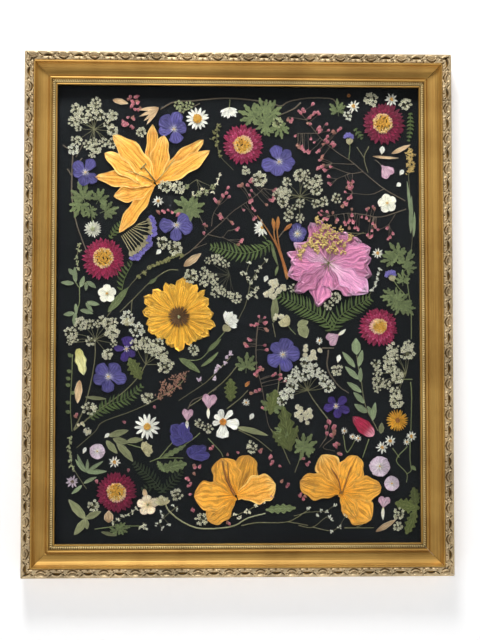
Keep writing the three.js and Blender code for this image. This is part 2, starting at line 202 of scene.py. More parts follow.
def tissue_group() -> bpy.types.NodeTree:
    """Pressed plant tissue: heart, blade and edge colours, ribs, side veins, browned blotches, and painted
    shade and highlights along creases.

    Ribs are waves across the blade that fan out from its base. Side veins are waves along it that lean
    towards the tip, by the distance from the midrib.

    Returns:
        The group, with a colour and a height.
    """
    colours = ("Heart", "Blade", "Edge", "Vein", "Blotch")
    numbers = ("Reach", "Edge Start", "Ribs", "Rib Strength", "Side Veins", "Side Strength", "Blotching",
        "Painted Crease Shade")
    group, given, out = new_group("pressed_tissue", colours, numbers, ("Color", "Height"))
    w = Wiring(group)
    along, across, tint = w.mark("along"), w.mark("across"), w.mark("tint")
    side = w.math("ABSOLUTE", across)
    colour = w.mix(w.step(along, 0.0, given["Reach"]), given["Heart"], given["Blade"])
    rim = w.math("MAXIMUM", side, along)
    colour = w.mix(w.step(rim, given["Edge Start"], 1.05), colour, given["Edge"])

    def blade_noise(stretch: Colour, scale: float, detail: float) -> bpy.types.NodeSocket:
        """Noise on the marks across, along and tint, each times its stretch.

        Args:
            stretch: a factor on each mark.
            scale: how fine the noise is.
            detail: how many finer layers it has.

        Returns:
            The noise, from 0 to 1.
        """
        marks = {i: w.times(mark, factor) for i, (mark,
            factor) in enumerate(zip((across, along, tint), stretch))}
        place = w.node("ShaderNodeCombineXYZ", marks).outputs[0]
        return w.node("ShaderNodeTexNoise", {"Vector": place, "Scale": scale,
            "Detail": detail}).outputs["Fac"]

    crease = blade_noise((3.2, 1.5, 31.0), 2.2, 7.0)
    wander = w.times(w.noise(420.0), 2.4)
    rib = w.math("SINE", w.plus(w.times(across, given["Ribs"]), wander))
    rib = w.times(w.step(rib, 0.1, 1.0), given["Rib Strength"])
    lean = w.math("SUBTRACT", along, w.times(side, 0.28))
    vein = w.math("SINE", w.times(lean, w.times(given["Side Veins"], 6.283)))
    midrib = w.step(side, 0.0, 0.09, 1.0, 0.0)
    vein = w.math("MAXIMUM", w.step(vein, 0.72, 1.0), midrib)
    vein = w.times(vein, given["Side Strength"])
    line = w.plus(rib, vein, clamp=True)
    colour = w.mix(line, colour, given["Vein"])
    spots = w.step(w.noise(150.0, 5.0), 0.52, 0.72)
    colour = w.mix(w.times(spots, given["Blotching"]), colour, given["Blotch"])
    # Painted crease shade: the colour is darkened towards the vein colour along the dark lines of the
    # crease noise.
    dark = w.times(w.step(crease, 0.5, 0.36), given["Painted Crease Shade"])
    colour = w.mix(dark, colour, given["Vein"])
    streak = blade_noise((13.0, 1.8, 17.0), 1.0, 4.0)
    # The value takes random tone, fine mottling and fibre streaks, and also painted highlights and shade
    # from the crease noise.
    grain = w.plus(w.times(w.noise(900.0, 2.0), 0.5), w.times(crease, 1.3))
    grain = w.plus(grain, streak)
    value = w.plus(w.plus(w.times(tint, 0.44), -0.58), grain)
    shade = w.node("ShaderNodeHueSaturation", {"Color": colour, "Value": value})
    w.feed(out.inputs["Color"], shade.outputs[0])
    rough = w.plus(w.times(w.noise(600.0, 4.0), 1.2), w.times(crease, 2.2))
    w.feed(out.inputs["Height"], w.plus(w.plus(line, rough), streak))
    return group


def patina_group() -> bpy.types.NodeTree:
    """Old gilding: leaf rubbed to red bole on the high places, and toned with umber in the low ones.

    Returns:
        The group, with a colour, a roughness and a height.
    """
    colours = ("Leaf", "Bole", "Wash")
    numbers = ("Relief", "Rub", "Toning", "Grain X", "Grain Z")
    group, given, out = new_group("gilt_patina", colours, numbers, ("Color", "Roughness", "Height"))
    w = Wiring(group)
    drift = w.noise(22.0, 5.0)
    speck = w.noise(1300.0, 3.0)
    stretch = w.node("ShaderNodeCombineXYZ", {0: given["Grain X"], 1: 700.0,
        2: given["Grain Z"]}).outputs[0]
    place = w.node("ShaderNodeTexCoord").outputs["Object"]
    along = w.node("ShaderNodeVectorMath", {0: place, 1: stretch}, operation="MULTIPLY").outputs[0]
    brushed = w.node("ShaderNodeTexNoise", {"Vector": along, "Scale": 1.0, "Detail": 4.0}).outputs["Fac"]
    colour = w.mix(w.step(drift, 0.35, 0.7, 0.0, 0.35), given["Leaf"], given["Wash"])
    colour = w.mix(w.step(brushed, 0.42, 0.75, 0.0, 0.4), colour, given["Wash"])
    rubbed = w.times(w.step(w.plus(given["Relief"], speck), 1.25, 1.6), given["Rub"])
    colour = w.mix(rubbed, colour, given["Bole"])
    low = w.plus(given["Relief"], w.times(w.math("SUBTRACT", speck, 0.5), 0.3))
    toned = w.times(w.step(low, 0.05, 0.62, 1.0, 0.0), given["Toning"], clamp=True)
    colour = w.mix(toned, colour, given["Wash"])
    w.feed(out.inputs["Color"], colour)
    rough = w.plus(w.times(brushed, 0.2), w.times(toned, 0.35))
    w.feed(out.inputs["Roughness"], w.plus(rough, w.times(speck, 0.1), clamp=True))
    w.feed(out.inputs["Height"], w.plus(brushed, speck))
    return group


def shared_group(name: str) -> bpy.types.NodeTree:
    """The node group of that name, built the first time that it is asked for."""
    makers = {"pressed_tissue": tissue_group, "gilt_patina": patina_group}
    return bpy.data.node_groups.get(name) or makers[name]()


# ---- finishes ----------------------------------------------------------------------------


@dataclass(frozen=True)
class Finish:
    """What every finish has: a name and the roughness of its surface."""

    name: str
    roughness: float = 0.7

    def material(self) -> bpy.types.Material:
        """Builds the finish's material, the first time that it is asked for.

        Returns:
            The material.
        """
        made = bpy.data.materials.get(self.name)
        if made is None:
            made = bpy.data.materials.new(self.name)
            made.use_nodes = True
            made.node_tree.nodes.clear()
            w = Wiring(made.node_tree)
            shader = w.node("ShaderNodeBsdfPrincipled", {"Roughness": self.roughness})
            w.node("ShaderNodeOutputMaterial", {"Surface": shader.outputs[0]})
            self.wire(w, shader)
        return made

    def wire(self, w: Wiring, shader: bpy.types.Node) -> None:
        """Sets the shader's sockets."""

    def fill(self, name: str, w: Wiring, shader: bpy.types.Node) -> bpy.types.Node:
        """Places a shared group, whose inputs take this finish's fields of the same names.

        Args:
            name: the group's name.
            w: the wiring of this finish's material.
            shader: the shader whose base colour comes from the group.

        Returns:
            The group's node.
        """
        group = w.node("ShaderNodeGroup", node_tree=shared_group(name))
        for label, socket in group.inputs.items():
            value = getattr(self, label.lower().replace(" ", "_"), None)
            if value is not None:
                w.feed(socket, paint(value) if isinstance(value, str) else value)
        w.feed(shader.inputs["Base Color"], group.outputs["Color"])
        return group

    def bump(self, w: Wiring, shader: bpy.types.Node, height: object, strength: float,
            depth: float) -> None:
        """Gives the shader a bump of that height map, with its depth in metres."""
        inputs = {"Height": height, "Strength": strength, "Distance": depth}
        w.feed(shader.inputs["Normal"], w.node("ShaderNodeBump", inputs).outputs[0])


@dataclass(frozen=True)
class Tissue(Finish):
    """A pressed petal, leaf or stem."""

    heart: str = "ffffff"
    blade: str = "ffffff"
    edge: str = "ffffff"
    vein: str = "888888"
    blotch: str = "8a6a3a"
    reach: float = 0.5
    edge_start: float = 0.8
    ribs: float = 16.0
    rib_strength: float = 0.25
    side_veins: float = 0.0
    side_strength: float = 0.0
    blotching: float = 0.1
    creasing: float = 0.35
    sheen: float = 0.1

    def wire(self, w: Wiring, shader: bpy.types.Node) -> None:
        """Sets the colours of the shared tissue group and its bump.

        Args:
            w: the wiring of this finish's material.
            shader: the material's shader.
        """
        group = self.fill("pressed_tissue", w, shader)
        shader.inputs["Sheen Weight"].default_value = self.sheen
        shader.inputs["Specular IOR Level"].default_value = 0.25
        self.bump(w, shader, group.outputs["Height"], 0.6, 0.0005)


@dataclass(frozen=True)
class Gilding(Finish):
    """Gold leaf on a moulding, with its brush lines along X or Z."""

    leaf: str = "d9a441"
    bole: str = "7a3f22"
    wash: str = "5a3a14"
    rub: float = 0.5
    toning: float = 0.8
    along_x: bool = True
    metallic: float = 0.75

    def wire(self, w: Wiring, shader: bpy.types.Node) -> None:
        """Sets the shared patina group, which reads the mesh's own relief mark.

        Args:
            w: the wiring of this finish's material.
            shader: the material's shader.
        """
        group = self.fill("gilt_patina", w, shader)
        w.feed(group.inputs["Relief"], w.mark("relief"))
        fine, coarse = ("Grain Z", "Grain X") if self.along_x else ("Grain X", "Grain Z")
        w.feed(group.inputs[fine], 700.0)
        w.feed(group.inputs[coarse], 12.0)
        w.feed(shader.inputs["Roughness"], w.plus(group.outputs["Roughness"], self.roughness))
        shader.inputs["Metallic"].default_value = self.metallic
        self.bump(w, shader, group.outputs["Height"], 0.25, 0.0003)


@dataclass(frozen=True)
class Plain(Finish):
    """Board, card, felt or metal: two colours mixed by noise, with a grain of its own scale and stretch."""

    colour: str = "808080"
    second: str = "606060"
    scale: float = 300.0
    stretch: Colour = (1.0, 1.0, 1.0)
    depth: float = 0.0001
    metallic: float = 0.0
    sheen: float = 0.0
    gloss: float = 0.5

    def wire(self, w: Wiring, shader: bpy.types.Node) -> None:
        """Mixes the two colours by fine and broad noise.

        Args:
            w: the wiring of this finish's material.
            shader: the material's shader.
        """
        fine = w.noise(self.scale, 5.0, self.stretch)
        broad = w.noise(9.0, 3.0)
        amount = w.plus(w.times(fine, 0.7), w.times(broad, 0.3))
        w.feed(shader.inputs["Base Color"], w.mix(w.step(amount, 0.35, 0.65), paint(self.colour),
            paint(self.second)))
        rough = w.plus(w.times(fine, 0.16), self.roughness - 0.08, clamp=True)
        w.feed(shader.inputs["Roughness"], rough)
        shader.inputs["Metallic"].default_value = self.metallic
        shader.inputs["Sheen Weight"].default_value = self.sheen
        shader.inputs["Specular IOR Level"].default_value = self.gloss
        self.bump(w, shader, fine, 0.4, self.depth)


@dataclass(frozen=True)
class Glazing(Finish):
    """Clear picture glass."""

    tint: str = "fbfdfc"

    def wire(self, w: Wiring, shader: bpy.types.Node) -> None:
        """Sets plain transmission with a weak reflection, as on glass coated for pictures.

        Args:
            w: the wiring of this finish's material.
            shader: the material's shader.
        """
        shader.inputs["Base Color"].default_value = (*paint(self.tint), 1.0)
        shader.inputs["Transmission Weight"].default_value = 1.0
        shader.inputs["IOR"].default_value = 1.2
        shader.inputs["Specular IOR Level"].default_value = 0.1


def shade(base: Tissue, name: str, colours: str, **more: object) -> Tissue:
    """A tissue like another, with its own name and its own heart, blade, edge and vein colours."""
    own = dict(zip(("heart", "blade", "edge", "vein"), colours.split()))
    return replace(base, name=name, **own, **more)


GILT_X = Gilding("gilt_moulding_x", 0.24, leaf="ecbf68", bole="8a4a22", wash="8a5c1e", toning=0.3,
    metallic=0.6)
GILT_Z = replace(GILT_X, name="gilt_moulding_z", along_x=False)
CARVED_X = Gilding("gilt_carving_x", 0.3, leaf="ecd3a6", bole="a0693c", wash="3e2810", rub=0.3, toning=1.0,
    metallic=0.5)
CARVED_Z = replace(CARVED_X, name="gilt_carving_z", along_x=False)
BEADS_X = replace(CARVED_X, name="gilt_beads_x", leaf="f2d896", wash="5a3c18", toning=0.9)
BEADS_Z = replace(BEADS_X, name="gilt_beads_z", along_x=False)
GLASS = Glazing("picture_glass", 0.0)
CARD = Plain("black_card", 0.9, colour="1f2124", second="17191b", scale=1500.0, depth=0.00003, gloss=0.05)
BOARD = Plain("hardboard", 0.8, colour="8f6d45", second="6f5231", scale=500.0, depth=0.0002)
SPACER = Plain("black_spacer", 0.6, colour="131313", second="0a0a0a", scale=900.0)
STEEL = Plain("zinc_plated_steel", 0.36, colour="b9b9b4", second="93938e", scale=260.0,
    stretch=(1.0, 1.0, 9.0), depth=0.00003, metallic=1.0)
FELT = Plain("brown_felt", 0.95, colour="453d32", second="2c261f", scale=2600.0, depth=0.0004, sheen=0.5)

CRIMSON = Tissue("crimson_bract", 0.5, *"760a2e 981040 b63c68 4a0820".split(), edge_start=0.7, ribs=5.0,
    rib_strength=0.35, blotch="6b0f2b", blotching=0.3, creasing=0.5)
DEEP_CRIMSON = shade(CRIMSON, "deep_crimson_bract", "4f0820 6f0e30 8d2248 3a0418")
ROSE = shade(CRIMSON, "rose_bract", "8c1842 b42c60 d27898")
PALE_BRACT = shade(CRIMSON, "pale_bract", "e6c89a e7b9a4 f3dcc4 c98a7a", blotching=0.1)
GOLD_FLORET = Tissue("gold_floret", 0.75, *"c98a1e dba232 efc765 b87a18".split(), blotch="a4681a",
    blotching=0.35)
CREAM_FLORET = shade(GOLD_FLORET, "cream_floret", "d9b35c ead08e f5e6b8")
VIOLET = Tissue("violet_petal", 0.6, *"b6b0c8 565089 4a4580 322d60".split(), reach=0.36, edge_start=0.8,
    ribs=15.0, rib_strength=0.6, blotch="3c3580", blotching=0.6, creasing=0.6)
PURPLE = shade(VIOLET, "purple_petal", "8d6fb4 45307c 3b2672 28174f", blotch="30205e", reach=0.26)
LARKSPUR = shade(VIOLET, "larkspur_petal", "5c5690 443d7e 5d5894", reach=0.3, creasing=0.9)
VIOLA = shade(VIOLET, "viola_petal", "d2d4bc 68629c 3f3a78", reach=0.62, edge_start=0.5)
ORANGE = Tissue("lily_petal", 0.55, *"f3a632 f2b04a f8cf7c d98a22".split(), reach=0.5, edge_start=0.7,
    ribs=17.0, rib_strength=0.5, blotch="d9791c", blotching=0.5, creasing=0.6)
AMBER = Tissue("alstroemeria_petal", 0.55, *"ee9c1c e9a63a d49a44 b8721c".split(), reach=0.5,
    edge_start=0.72, ribs=17.0, rib_strength=0.5, blotch="9a763c", blotching=0.5, creasing=0.45)
YELLOW = Tissue("coreopsis_petal", 0.6, *"c8821c e2a62e eebb48 b87c1e".split(), reach=0.4, edge_start=0.72,
    ribs=11.0, rib_strength=0.6, blotch="c98620", blotching=0.5, creasing=0.6)
ASTER = shade(YELLOW, "aster_petal", "d08a1a e6a628 f4c04a c27a18")
PINK = Tissue("peony_petal", 0.6, *"cd8fae c87c9f be93ab 944c74".split(), reach=0.55, edge_start=0.84,
    ribs=14.0, rib_strength=0.4, blotch="b4669a", blotching=0.5, creasing=0.5)
WHITE = Tissue("white_petal", 0.65, *"e6dfb8 f6f4ea fdfcf6 d8d4c0".split(), reach=0.35, ribs=7.0,
    rib_strength=0.25, blotch="e6dcbc", blotching=0.2)
IVORY = shade(WHITE, "ivory_petal", "ddd08c f0ecda f8f5e8", blotch="e2d8ac")
BLUSH = Tissue("blush_petal", 0.6, *"e8e6d6 d2c0cc c3a3b9 b89cb0".split(), reach=0.5, ribs=5.0,
    rib_strength=0.3, blotch="d8cfd0", blotching=0.3)
HEART = shade(BLUSH, "bleeding_heart", "b08a9a c6a2b0 ae8296 8a6478", reach=0.6, edge_start=0.6,
    creasing=0.5)
MAUVE = shade(PINK, "mauve_petal", "e2bccc d394b6 c8a8c2 a9688e")
UMBEL = Tissue("umbel_floret", 0.7, *"9c986e dedabe f8f5e4 7c7956".split(), reach=0.5, blotch="99966e",
    blotching=0.6, creasing=0.5)
CHALK = shade(UMBEL, "chalk_floret", "b2b090 ecebda fbfaf0")
SEED_GOLD = shade(UMBEL, "gold_seed", "a07c34 d8b466 f2de9e 6c5220", blotch="8c6a34")
SEED_OLIVE = shade(UMBEL, "olive_seed", "5f5f34 8f8d58 b0ac74 4c4c28", blotch="6c6a40")
BUTTER = shade(UMBEL, "butter_floret", "ece2b8 f8f1d6 fdf9ea c8bc90", blotch="d8c894", blotching=0.5)
PEARL = shade(UMBEL, "pale_green_floret", "8d9660 b9bf8e cdd2a6")
LEAF = Tissue("olive_leaf", 0.65, *"646e44 606c42 7e8b5c 94a070".split(), reach=0.3, ribs=0.0,
    rib_strength=0.0, side_veins=7.0, side_strength=0.7, blotch="444f30", blotching=0.6)
MOSS = shade(LEAF, "moss_leaf", "545a2a 4d5527 656d38 7d8450", blotch="363c1c")
SAGE = shade(LEAF, "sage_leaf", "93a07a 7c8b66 98a580 a5af8c", blotch="6c7a54", blotching=0.5)
DUSTY = shade(LEAF, "dusty_leaf", "9c9c74 84875f a2a37e 6e7050", blotch="77785a", blotching=0.6)
FERN = shade(LEAF, "fern_leaf", "5f7038 5a6c3a 7c8c58 3c4a24", blotch="3c4a24", side_strength=0.35)
DARK_FERN = shade(FERN, "dark_fern_leaf", "2e3a22 27321d 35432a 3c4a2c", blotch="1f2818")
STEM = Tissue("olive_stem", 0.7, *"87845e 7b7854 8c8964 5f5c3c".split(), ribs=3.0)
PALE_STEM = shade(STEM, "pale_stem", "a8a67c b0ae84 c2c09a 85835c")
GREEN_STEM = shade(STEM, "green_stem", "8d9863 87925c 99a36e 6a7444")
BARK_STEM = shade(STEM, "bark_stem", "7a6b58 6f6352 827562 4e4538")
DIM_STEM = shade(STEM, "dim_stem", "4c4a34 44432f 524f3a 33311f")
RUST = Tissue("rust_floret", 0.75, *"84584a a87c66 c49c88 6a4434".split(), blotching=0.5, blotch="8a4a40")
BELL = Tissue("coral_bell", 0.6, *"8a3a48 c06676 e6a8a8 84303f".split(), reach=0.5, edge_start=0.6,
    ribs=6.0, rib_strength=0.5, blotch="9c4a58", blotching=0.5, creasing=0.5)
BROWN_BELL = shade(BELL, "faded_bell", "7f5646 a5705f bb8a78 7c4c40")
TWIG = Tissue("orange_twig", 0.6, *"b8813c b06c30 c98e50 6f3d16".split(), ribs=5.0, rib_strength=0.6,
    creasing=0.6)
STATICE = Tissue("statice_petal", 0.6, *"5c4ea4 8478c8 b2a8e6 4c408e".split(), blotch="6c5eb4",
    blotching=0.35)
CALYX = Tissue("statice_calyx", 0.7, *"a89f6c c9c096 dcd4b0 9a9062".split(), ribs=7.0, rib_strength=0.4)
TAN = Tissue("tan_bud", 0.6, *"a8825c d2b48c ecd9b8 a27d58".split(), ribs=9.0, rib_strength=0.5,
    blotching=0.2)
CREAM = Tissue("tulip_cream", 0.6, *"c9c070 e3dda0 a8b088 b8a858".split(), ribs=6.0, rib_strength=0.35,
    blotch="d8cf7c", blotching=0.3)
MAGENTA = Tissue("crimson_petal", 0.5, *"e8a0b0 9c1238 8a0f34 6d0a26".split(), reach=0.4, ribs=11.0,
    rib_strength=0.4, blotch="b81c4c", blotching=0.5, sheen=0.4)
PEACH = shade(WHITE, "peach_petal", "e6c88c efe0c4 e6cfb4 cfa988", reach=0.7, creasing=0.5)
ORANGE_EYE = shade(GOLD_FLORET, "orange_eye", "a85a14 cf7c1e e8a040")
BROWN_EYE = Tissue("brown_eye", 0.8, *"4a2f18 6a4826 8a6c44 3a2412".split(), blotching=0.5, blotch="2f1c10")


# ---- meshes ------------------------------------------------------------------------------


@dataclass
class Patch:
    """Part of a mesh: points as (x, height, z) in millimetres, faces, and marks along, across and tint."""

    points: np.ndarray
    faces: list[np.ndarray]
    marks: np.ndarray
    closed: bool = False


@dataclass(frozen=True)
class Card:
    """Where the card's face is, and how places on it become places in the row frame."""

    middle: float
    face: float

    @classmethod
    def of_frame(cls) -> "Card":
        """Reads the card's place from the frame."""
        low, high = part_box("mount_card")
        return cls(middle=(low[2] + high[2]) / 2, face=low[1])

    def place(self, points: np.ndarray) -> np.ndarray:
        """(x, height, z) in millimetres on the card as metres in the row frame."""
        x, height, z = points.T
        return np.stack([x * MM, self.face - height * MM, self.middle + z * MM], 1)


def orient(points: np.ndarray, faces: list[np.ndarray]) -> list[np.ndarray]:
    """Turns the faces of a closed shape outwards, by the sign of its volume.

    The volume is the sum over triangles of a corner's dot product with the cross product of the other
    two.

    Args:
        points: the shape's points.
        faces: arrays of its faces, by their number of corners.

    Returns:
        The faces, or all of them turned over.
    """
    volume = 0.0
    middle = points.mean(0)
    for group in faces:
        for k in range(1, group.shape[1] - 1):
            a, b, c = (points[group[:, i]] - middle for i in (0, k, k + 1))
            volume += float(np.einsum("ij,ij->i", a, np.cross(b, c)).sum())
    return faces if volume > 0 else [group[:, ::-1] for group in faces]


def mesh_object(name: str, points: np.ndarray, groups: list[tuple[np.ndarray, int]],
        marks: dict[str, np.ndarray], finishes: Sequence[Finish]) -> bpy.types.Object:
    """Makes a mesh object from whole arrays.

    Args:
        name: the object's name.
        points: its points in metres.
        groups: arrays of faces with one number of corners each, with their material's number.
        marks: numbers at each point, by name.
        finishes: its materials' finishes.

    Returns:
        The new object, smooth-shaded, at the origin.
    """
    mesh = bpy.data.meshes.new(name)
    corners = np.concatenate([faces.ravel() for faces, _ in groups]).astype(np.int32)
    sizes = np.concatenate([np.full(len(faces), faces.shape[1]) for faces, _ in groups])
    starts = np.concatenate([[0], np.cumsum(sizes)[:-1]]).astype(np.int32)
    slots = np.concatenate([np.full(len(faces), slot) for faces, slot in groups]).astype(np.int32)
    mesh.vertices.add(len(points))
    mesh.vertices.foreach_set("co", points.astype(np.float32).ravel())
    mesh.loops.add(len(corners))
    mesh.loops.foreach_set("vertex_index", corners)
    mesh.polygons.add(len(sizes))
    mesh.polygons.foreach_set("loop_start", starts)
    mesh.polygons.foreach_set("material_index", slots)
    mesh.update(calc_edges=True)
    mesh.validate()
    mesh.polygons.foreach_set("use_smooth", np.ones(len(mesh.polygons), bool))
    for label, values in marks.items():
        mesh.attributes.new(label, "FLOAT", "POINT").data.foreach_set("value", values.astype(np.float32))
    for finish in finishes:
        mesh.materials.append(finish.material())
    made = bpy.data.objects.new(name, mesh)
    bpy.context.scene.collection.objects.link(made)
    return made


class Sheaf:
    """One specimen: patches of tissue, joined in one mesh on the card."""

    def __init__(self, name: str, card: Card) -> None:
        """Starts an empty specimen of that name.

        Args:
            name: the piece's name.
            card: the card that it lies on.
        """
        self.name = name
        self.card = card
        self.rng = chance(name)
        self.patches: list[tuple[Patch, Finish]] = []

    def add(self, finish: Finish, lay: Callable[..., Patch], *values: object, **more: object) -> None:
        """Lays a patch in that finish, with this sheaf's random source and what the function is given."""
        self.patches.append((lay(self.rng, *values, **more), finish))

    def build(self, slot: str, nodes: Sequence[str] = ()) -> bpy.types.Object:
        """Joins the patches, and makes the piece ride on the frame.

        Args:
            slot: the record's material slot; it is not used.
            nodes: the CAD nodes that it replaces.

        Returns:
            The piece.
        """
        finishes = list(dict.fromkeys(finish for _, finish in self.patches))
        points, groups, start = [], [], 0
        for patch, finish in self.patches:
            placed = self.card.place(patch.points)
            faces = orient(placed, patch.faces) if patch.closed else patch.faces
            groups += [(group + start, finishes.index(finish)) for group in faces if len(group)]
            points.append(placed)
            start += len(placed)
        marks = np.concatenate([patch.marks for patch, _ in self.patches])
        named = {"along": marks[:, 0], "across": marks[:, 1], "tint": marks[:, 2]}
        piece = mesh_object(self.name, np.concatenate(points), groups, named, finishes)
        finish_piece(piece, nodes)
        return piece


def finish_piece(piece: bpy.types.Object, nodes: Sequence[str] = ()) -> None:
    """Makes a piece ride on the frame, hides the CAD nodes that it replaces, and reports it.

    Args:
        piece: the finished object.
        nodes: the CAD nodes that it replaces.
    """
    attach(piece, "root")
    if nodes:
        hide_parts(*nodes)
    LOG.info("%s: %d faces", piece.name, len(piece.data.polygons))


@dataclass(frozen=True)
class Blade:
    """The shape of a kind of petal, leaf or bract, in shares of its own length or in millimetres."""

    widest: float = 0.6
    fullness: float = 0.6
    claw: float = 0.12
    notch: float = 0.0
    frill: float = 0.0
    frills: float = 3.0
    teeth: int = 0
    bite: float = 0.0
    cup: float = 0.2
    ruffle: float = 0.1
    ruffles: float = 5.0
    ragged: float = 0.04
    rows: int = 12
    columns: int = 9


def grid_faces(blades: int, rows: int, columns: int) -> np.ndarray:
    """Quads of several grids of the same size, anticlockwise from the front.

    Args:
        blades: the number of grids.
        rows: points along each.
        columns: points across each.

    Returns:
        The quads, with the grids' points numbered one grid after another.
    """
    v, u = np.meshgrid(np.arange(rows - 1), np.arange(columns - 1), indexing="ij")
    first = (v * columns + u).ravel()
    quad = np.stack([first, first + columns, first + columns + 1, first + 1], 1)
    offsets = np.arange(blades)[:, None, None] * rows * columns
    return (quad[None] + offsets).reshape(-1, 4)


def tube_faces(rings: int, sides: int, first: int, last: int, start: int = 0) -> list[np.ndarray]:
    """Quads between neighbouring rings of points, and fans of triangles that close both ends.

    Args:
        rings: the number of rings.
        sides: points on each ring.
        first: the number of the point that closes the first ring.
        last: the number of the point that closes the last ring.
        start: the number of the first ring's first point.

    Returns:
        The quads, and the triangles.
    """
    side = np.arange(sides)
    ring = start + np.arange(rings)[:, None] * sides
    here, there = ring + side, ring + (side + 1) % sides
    quads = np.stack([here[:-1], there[:-1], there[1:], here[1:]], -1).reshape(-1, 4)
    front = np.stack([0 * side + first, there[0], here[0]], 1)
    back = np.stack([0 * side + last, here[-1], there[-1]], 1)
    return [quads, np.concatenate([front, back])]


def lay_blades(rng: np.random.Generator, shape: Blade, base: Iterable, angle: Iterable, length: Iterable,
        width: Iterable, bend: float | np.ndarray = 0.0, height: float | np.ndarray = 0.8,
        lift: float | np.ndarray = 0.3, overlap: float = 0.12) -> Patch:
    """Lays blades on the card.

    Half the width is a sine of the place along the blade, raised to a power that makes the ends blunt or
    sharp, and cut by teeth. The midrib is a circle's arc. The tip is notched or frilled by moving points
    along the blade by the place across it. Edges rise by the square of the place across, and ruffles are
    a sine across that grows towards the tip.

    Args:
        rng: the random source.
        shape: the kind of blade.
        base: where each blade starts, as x and z.
        angle: the direction of each, in degrees from +X towards +Z.
        length: the length of each.
        width: the greatest width of each.
        bend: how far each turns from base to tip, in degrees.
        height: the height of each base above the card.
        lift: how much higher the tip is.
        overlap: how far one side is above the other, so that neighbours lie over each other.

    Returns:
        The patch.
    """
    base = np.atleast_2d(np.asarray(base, float))
    count = max(len(base), np.size(angle), np.size(length), np.size(width))
    base = np.broadcast_to(base, (count, 2))

    def per_blade(value: object) -> np.ndarray:
        """One value for each blade, shaped for the grid."""
        return np.broadcast_to(np.asarray(value, float), (count,))[:, None, None]

    angle, length, width = np.radians(per_blade(angle)), per_blade(length), per_blade(width)
    bend = np.radians(per_blade(bend)) + 1e-4
    v = np.linspace(0, 1, shape.rows)[None, :, None]
    u = np.linspace(-1, 1, shape.columns)[None, None, :]
    phase = rng.uniform(0, 6.28, (count, 1, 1))
    power = math.log(0.5) / math.log(shape.widest)
    body = np.sin(np.pi * np.clip(v, 0, 1) ** power).clip(0.0) ** shape.fullness
    body = np.maximum(body, shape.claw * (1 - v)).clip(0.025)
    body = body * (1 - shape.bite * (0.5 - 0.5 * np.cos(2 * np.pi * shape.teeth * v)))
    body = body * (1 + shape.ragged * np.sin(17 * v + 3 * np.sign(u) + phase))
    along = v * (1 - shape.notch * (1 - u ** 2) * v ** 5)
    along = along + shape.frill * np.cos(shape.frills * np.pi * u + phase) * v ** 6
    across = u * body * width / 2
    heading = angle + bend * along
    x = base[:, :1, None] + length * (np.sin(heading) - np.sin(angle)) / bend - across * np.sin(heading)
    z = base[:, 1:, None] - length * (np.cos(heading) - np.cos(angle)) / bend + across * np.cos(heading)
    ripple = shape.ruffle * np.sin(shape.ruffles * u + phase + 2.5 * v) * v
    rise = per_blade(height) + per_blade(lift) * v + shape.cup * u ** 2 * body + ripple + overlap * u
    x, rise, z, v, u = np.broadcast_arrays(x, rise, z, v, u)
    tint = np.broadcast_to(rng.uniform(0, 1, (count, 1, 1)), x.shape)
    marks = np.stack([v.ravel(), u.ravel(), tint.ravel()], 1)
    points = np.stack([x.ravel(), np.clip(rise, 0.06, UNDER_GLASS).ravel(), z.ravel()], 1)
    return Patch(points, [grid_faces(count, shape.rows, shape.columns)], marks)


def lay_beads(rng: np.random.Generator, spots: np.ndarray, radius: float | np.ndarray,
        height: float | np.ndarray, flat: float = 0.7, rings: int = 4, sides: int = 7) -> Patch:
    """Lays small flattened balls: circles of latitude round each spot, closed by a point at both ends.

    Args:
        rng: the random source.
        spots: the middle of each bead, as x and z.
        radius: each bead's radius.
        height: the height of each middle.
        flat: the height of a bead as a share of its width.
        rings: circles of latitude.
        sides: points on each circle.

    Returns:
        The patch.
    """
    spots = np.atleast_2d(spots)
    count = len(spots)
    latitude = np.linspace(0, np.pi, rings + 2)[1:-1][:, None]
    turn = (np.arange(sides) * 2 * np.pi / sides)[None, :]
    ball = np.stack([np.sin(latitude) * np.cos(turn), np.cos(latitude) + 0 * turn,
        np.sin(latitude) * np.sin(turn)], -1).reshape(-1, 3)
    ball = np.concatenate([[[0, 1, 0]], ball, [[0, -1, 0]]])
    size = np.broadcast_to(radius, (count,))[:, None, None] * np.array([1, flat, 1])
    points = ball[None] * size * rng.uniform(0.8, 1.2, (count, 1, 3))
    points = points + np.stack([spots[:, 0], np.broadcast_to(height, (count,)), spots[:, 1]], 1)[:, None]
    points[..., 1] = np.clip(points[..., 1], 0.05, UNDER_GLASS)
    offsets = np.arange(count)[:, None, None] * len(ball)
    ball_faces = tube_faces(rings, sides, 0, len(ball) - 1, 1)
    faces = [(group[None] + offsets).reshape(-1, group.shape[1]) for group in ball_faces]
    tint = np.repeat(rng.uniform(0, 1, count), len(ball))
    # Painted shade: the mark along runs from each bead's foot on the card to its top, which puts the
    # tissue's heart colour, mostly the darker one, at the foot and its edge colour on the top.
    shade = np.tile(ball[:, 1] * 0.5 + 0.5, count)
    marks = np.stack([shade, 0 * shade, tint], 1)
    return Patch(points.reshape(-1, 3), faces, marks, closed=True)


def smooth_path(points: Sequence[Spot], step: float = 1.6) -> np.ndarray:
    """A Catmull-Rom curve: a cubic between each two points, whose slope follows their neighbours.

    Args:
        points: the places it passes through.
        step: about how far apart its points are, in millimetres.

    Returns:
        Its points.
    """
    p = np.asarray(points, float)
    p = np.concatenate([[2 * p[0] - p[1]], p, [2 * p[-1] - p[-2]]])
    pieces = []
    for a, b, c, d in zip(p[:-3], p[1:-2], p[2:-1], p[3:]):
        count = max(2, int(np.hypot(*(c - b)) / step))
        t = np.linspace(0, 1, count, endpoint=False)[:, None]
        pieces.append(0.5 * (2 * b + (c - a) * t + (2 * a - 5 * b + 4 * c - d) * t ** 2
                             + (3 * b - a - 3 * c + d) * t ** 3))
    return np.concatenate([*pieces, p[-2:-1]])


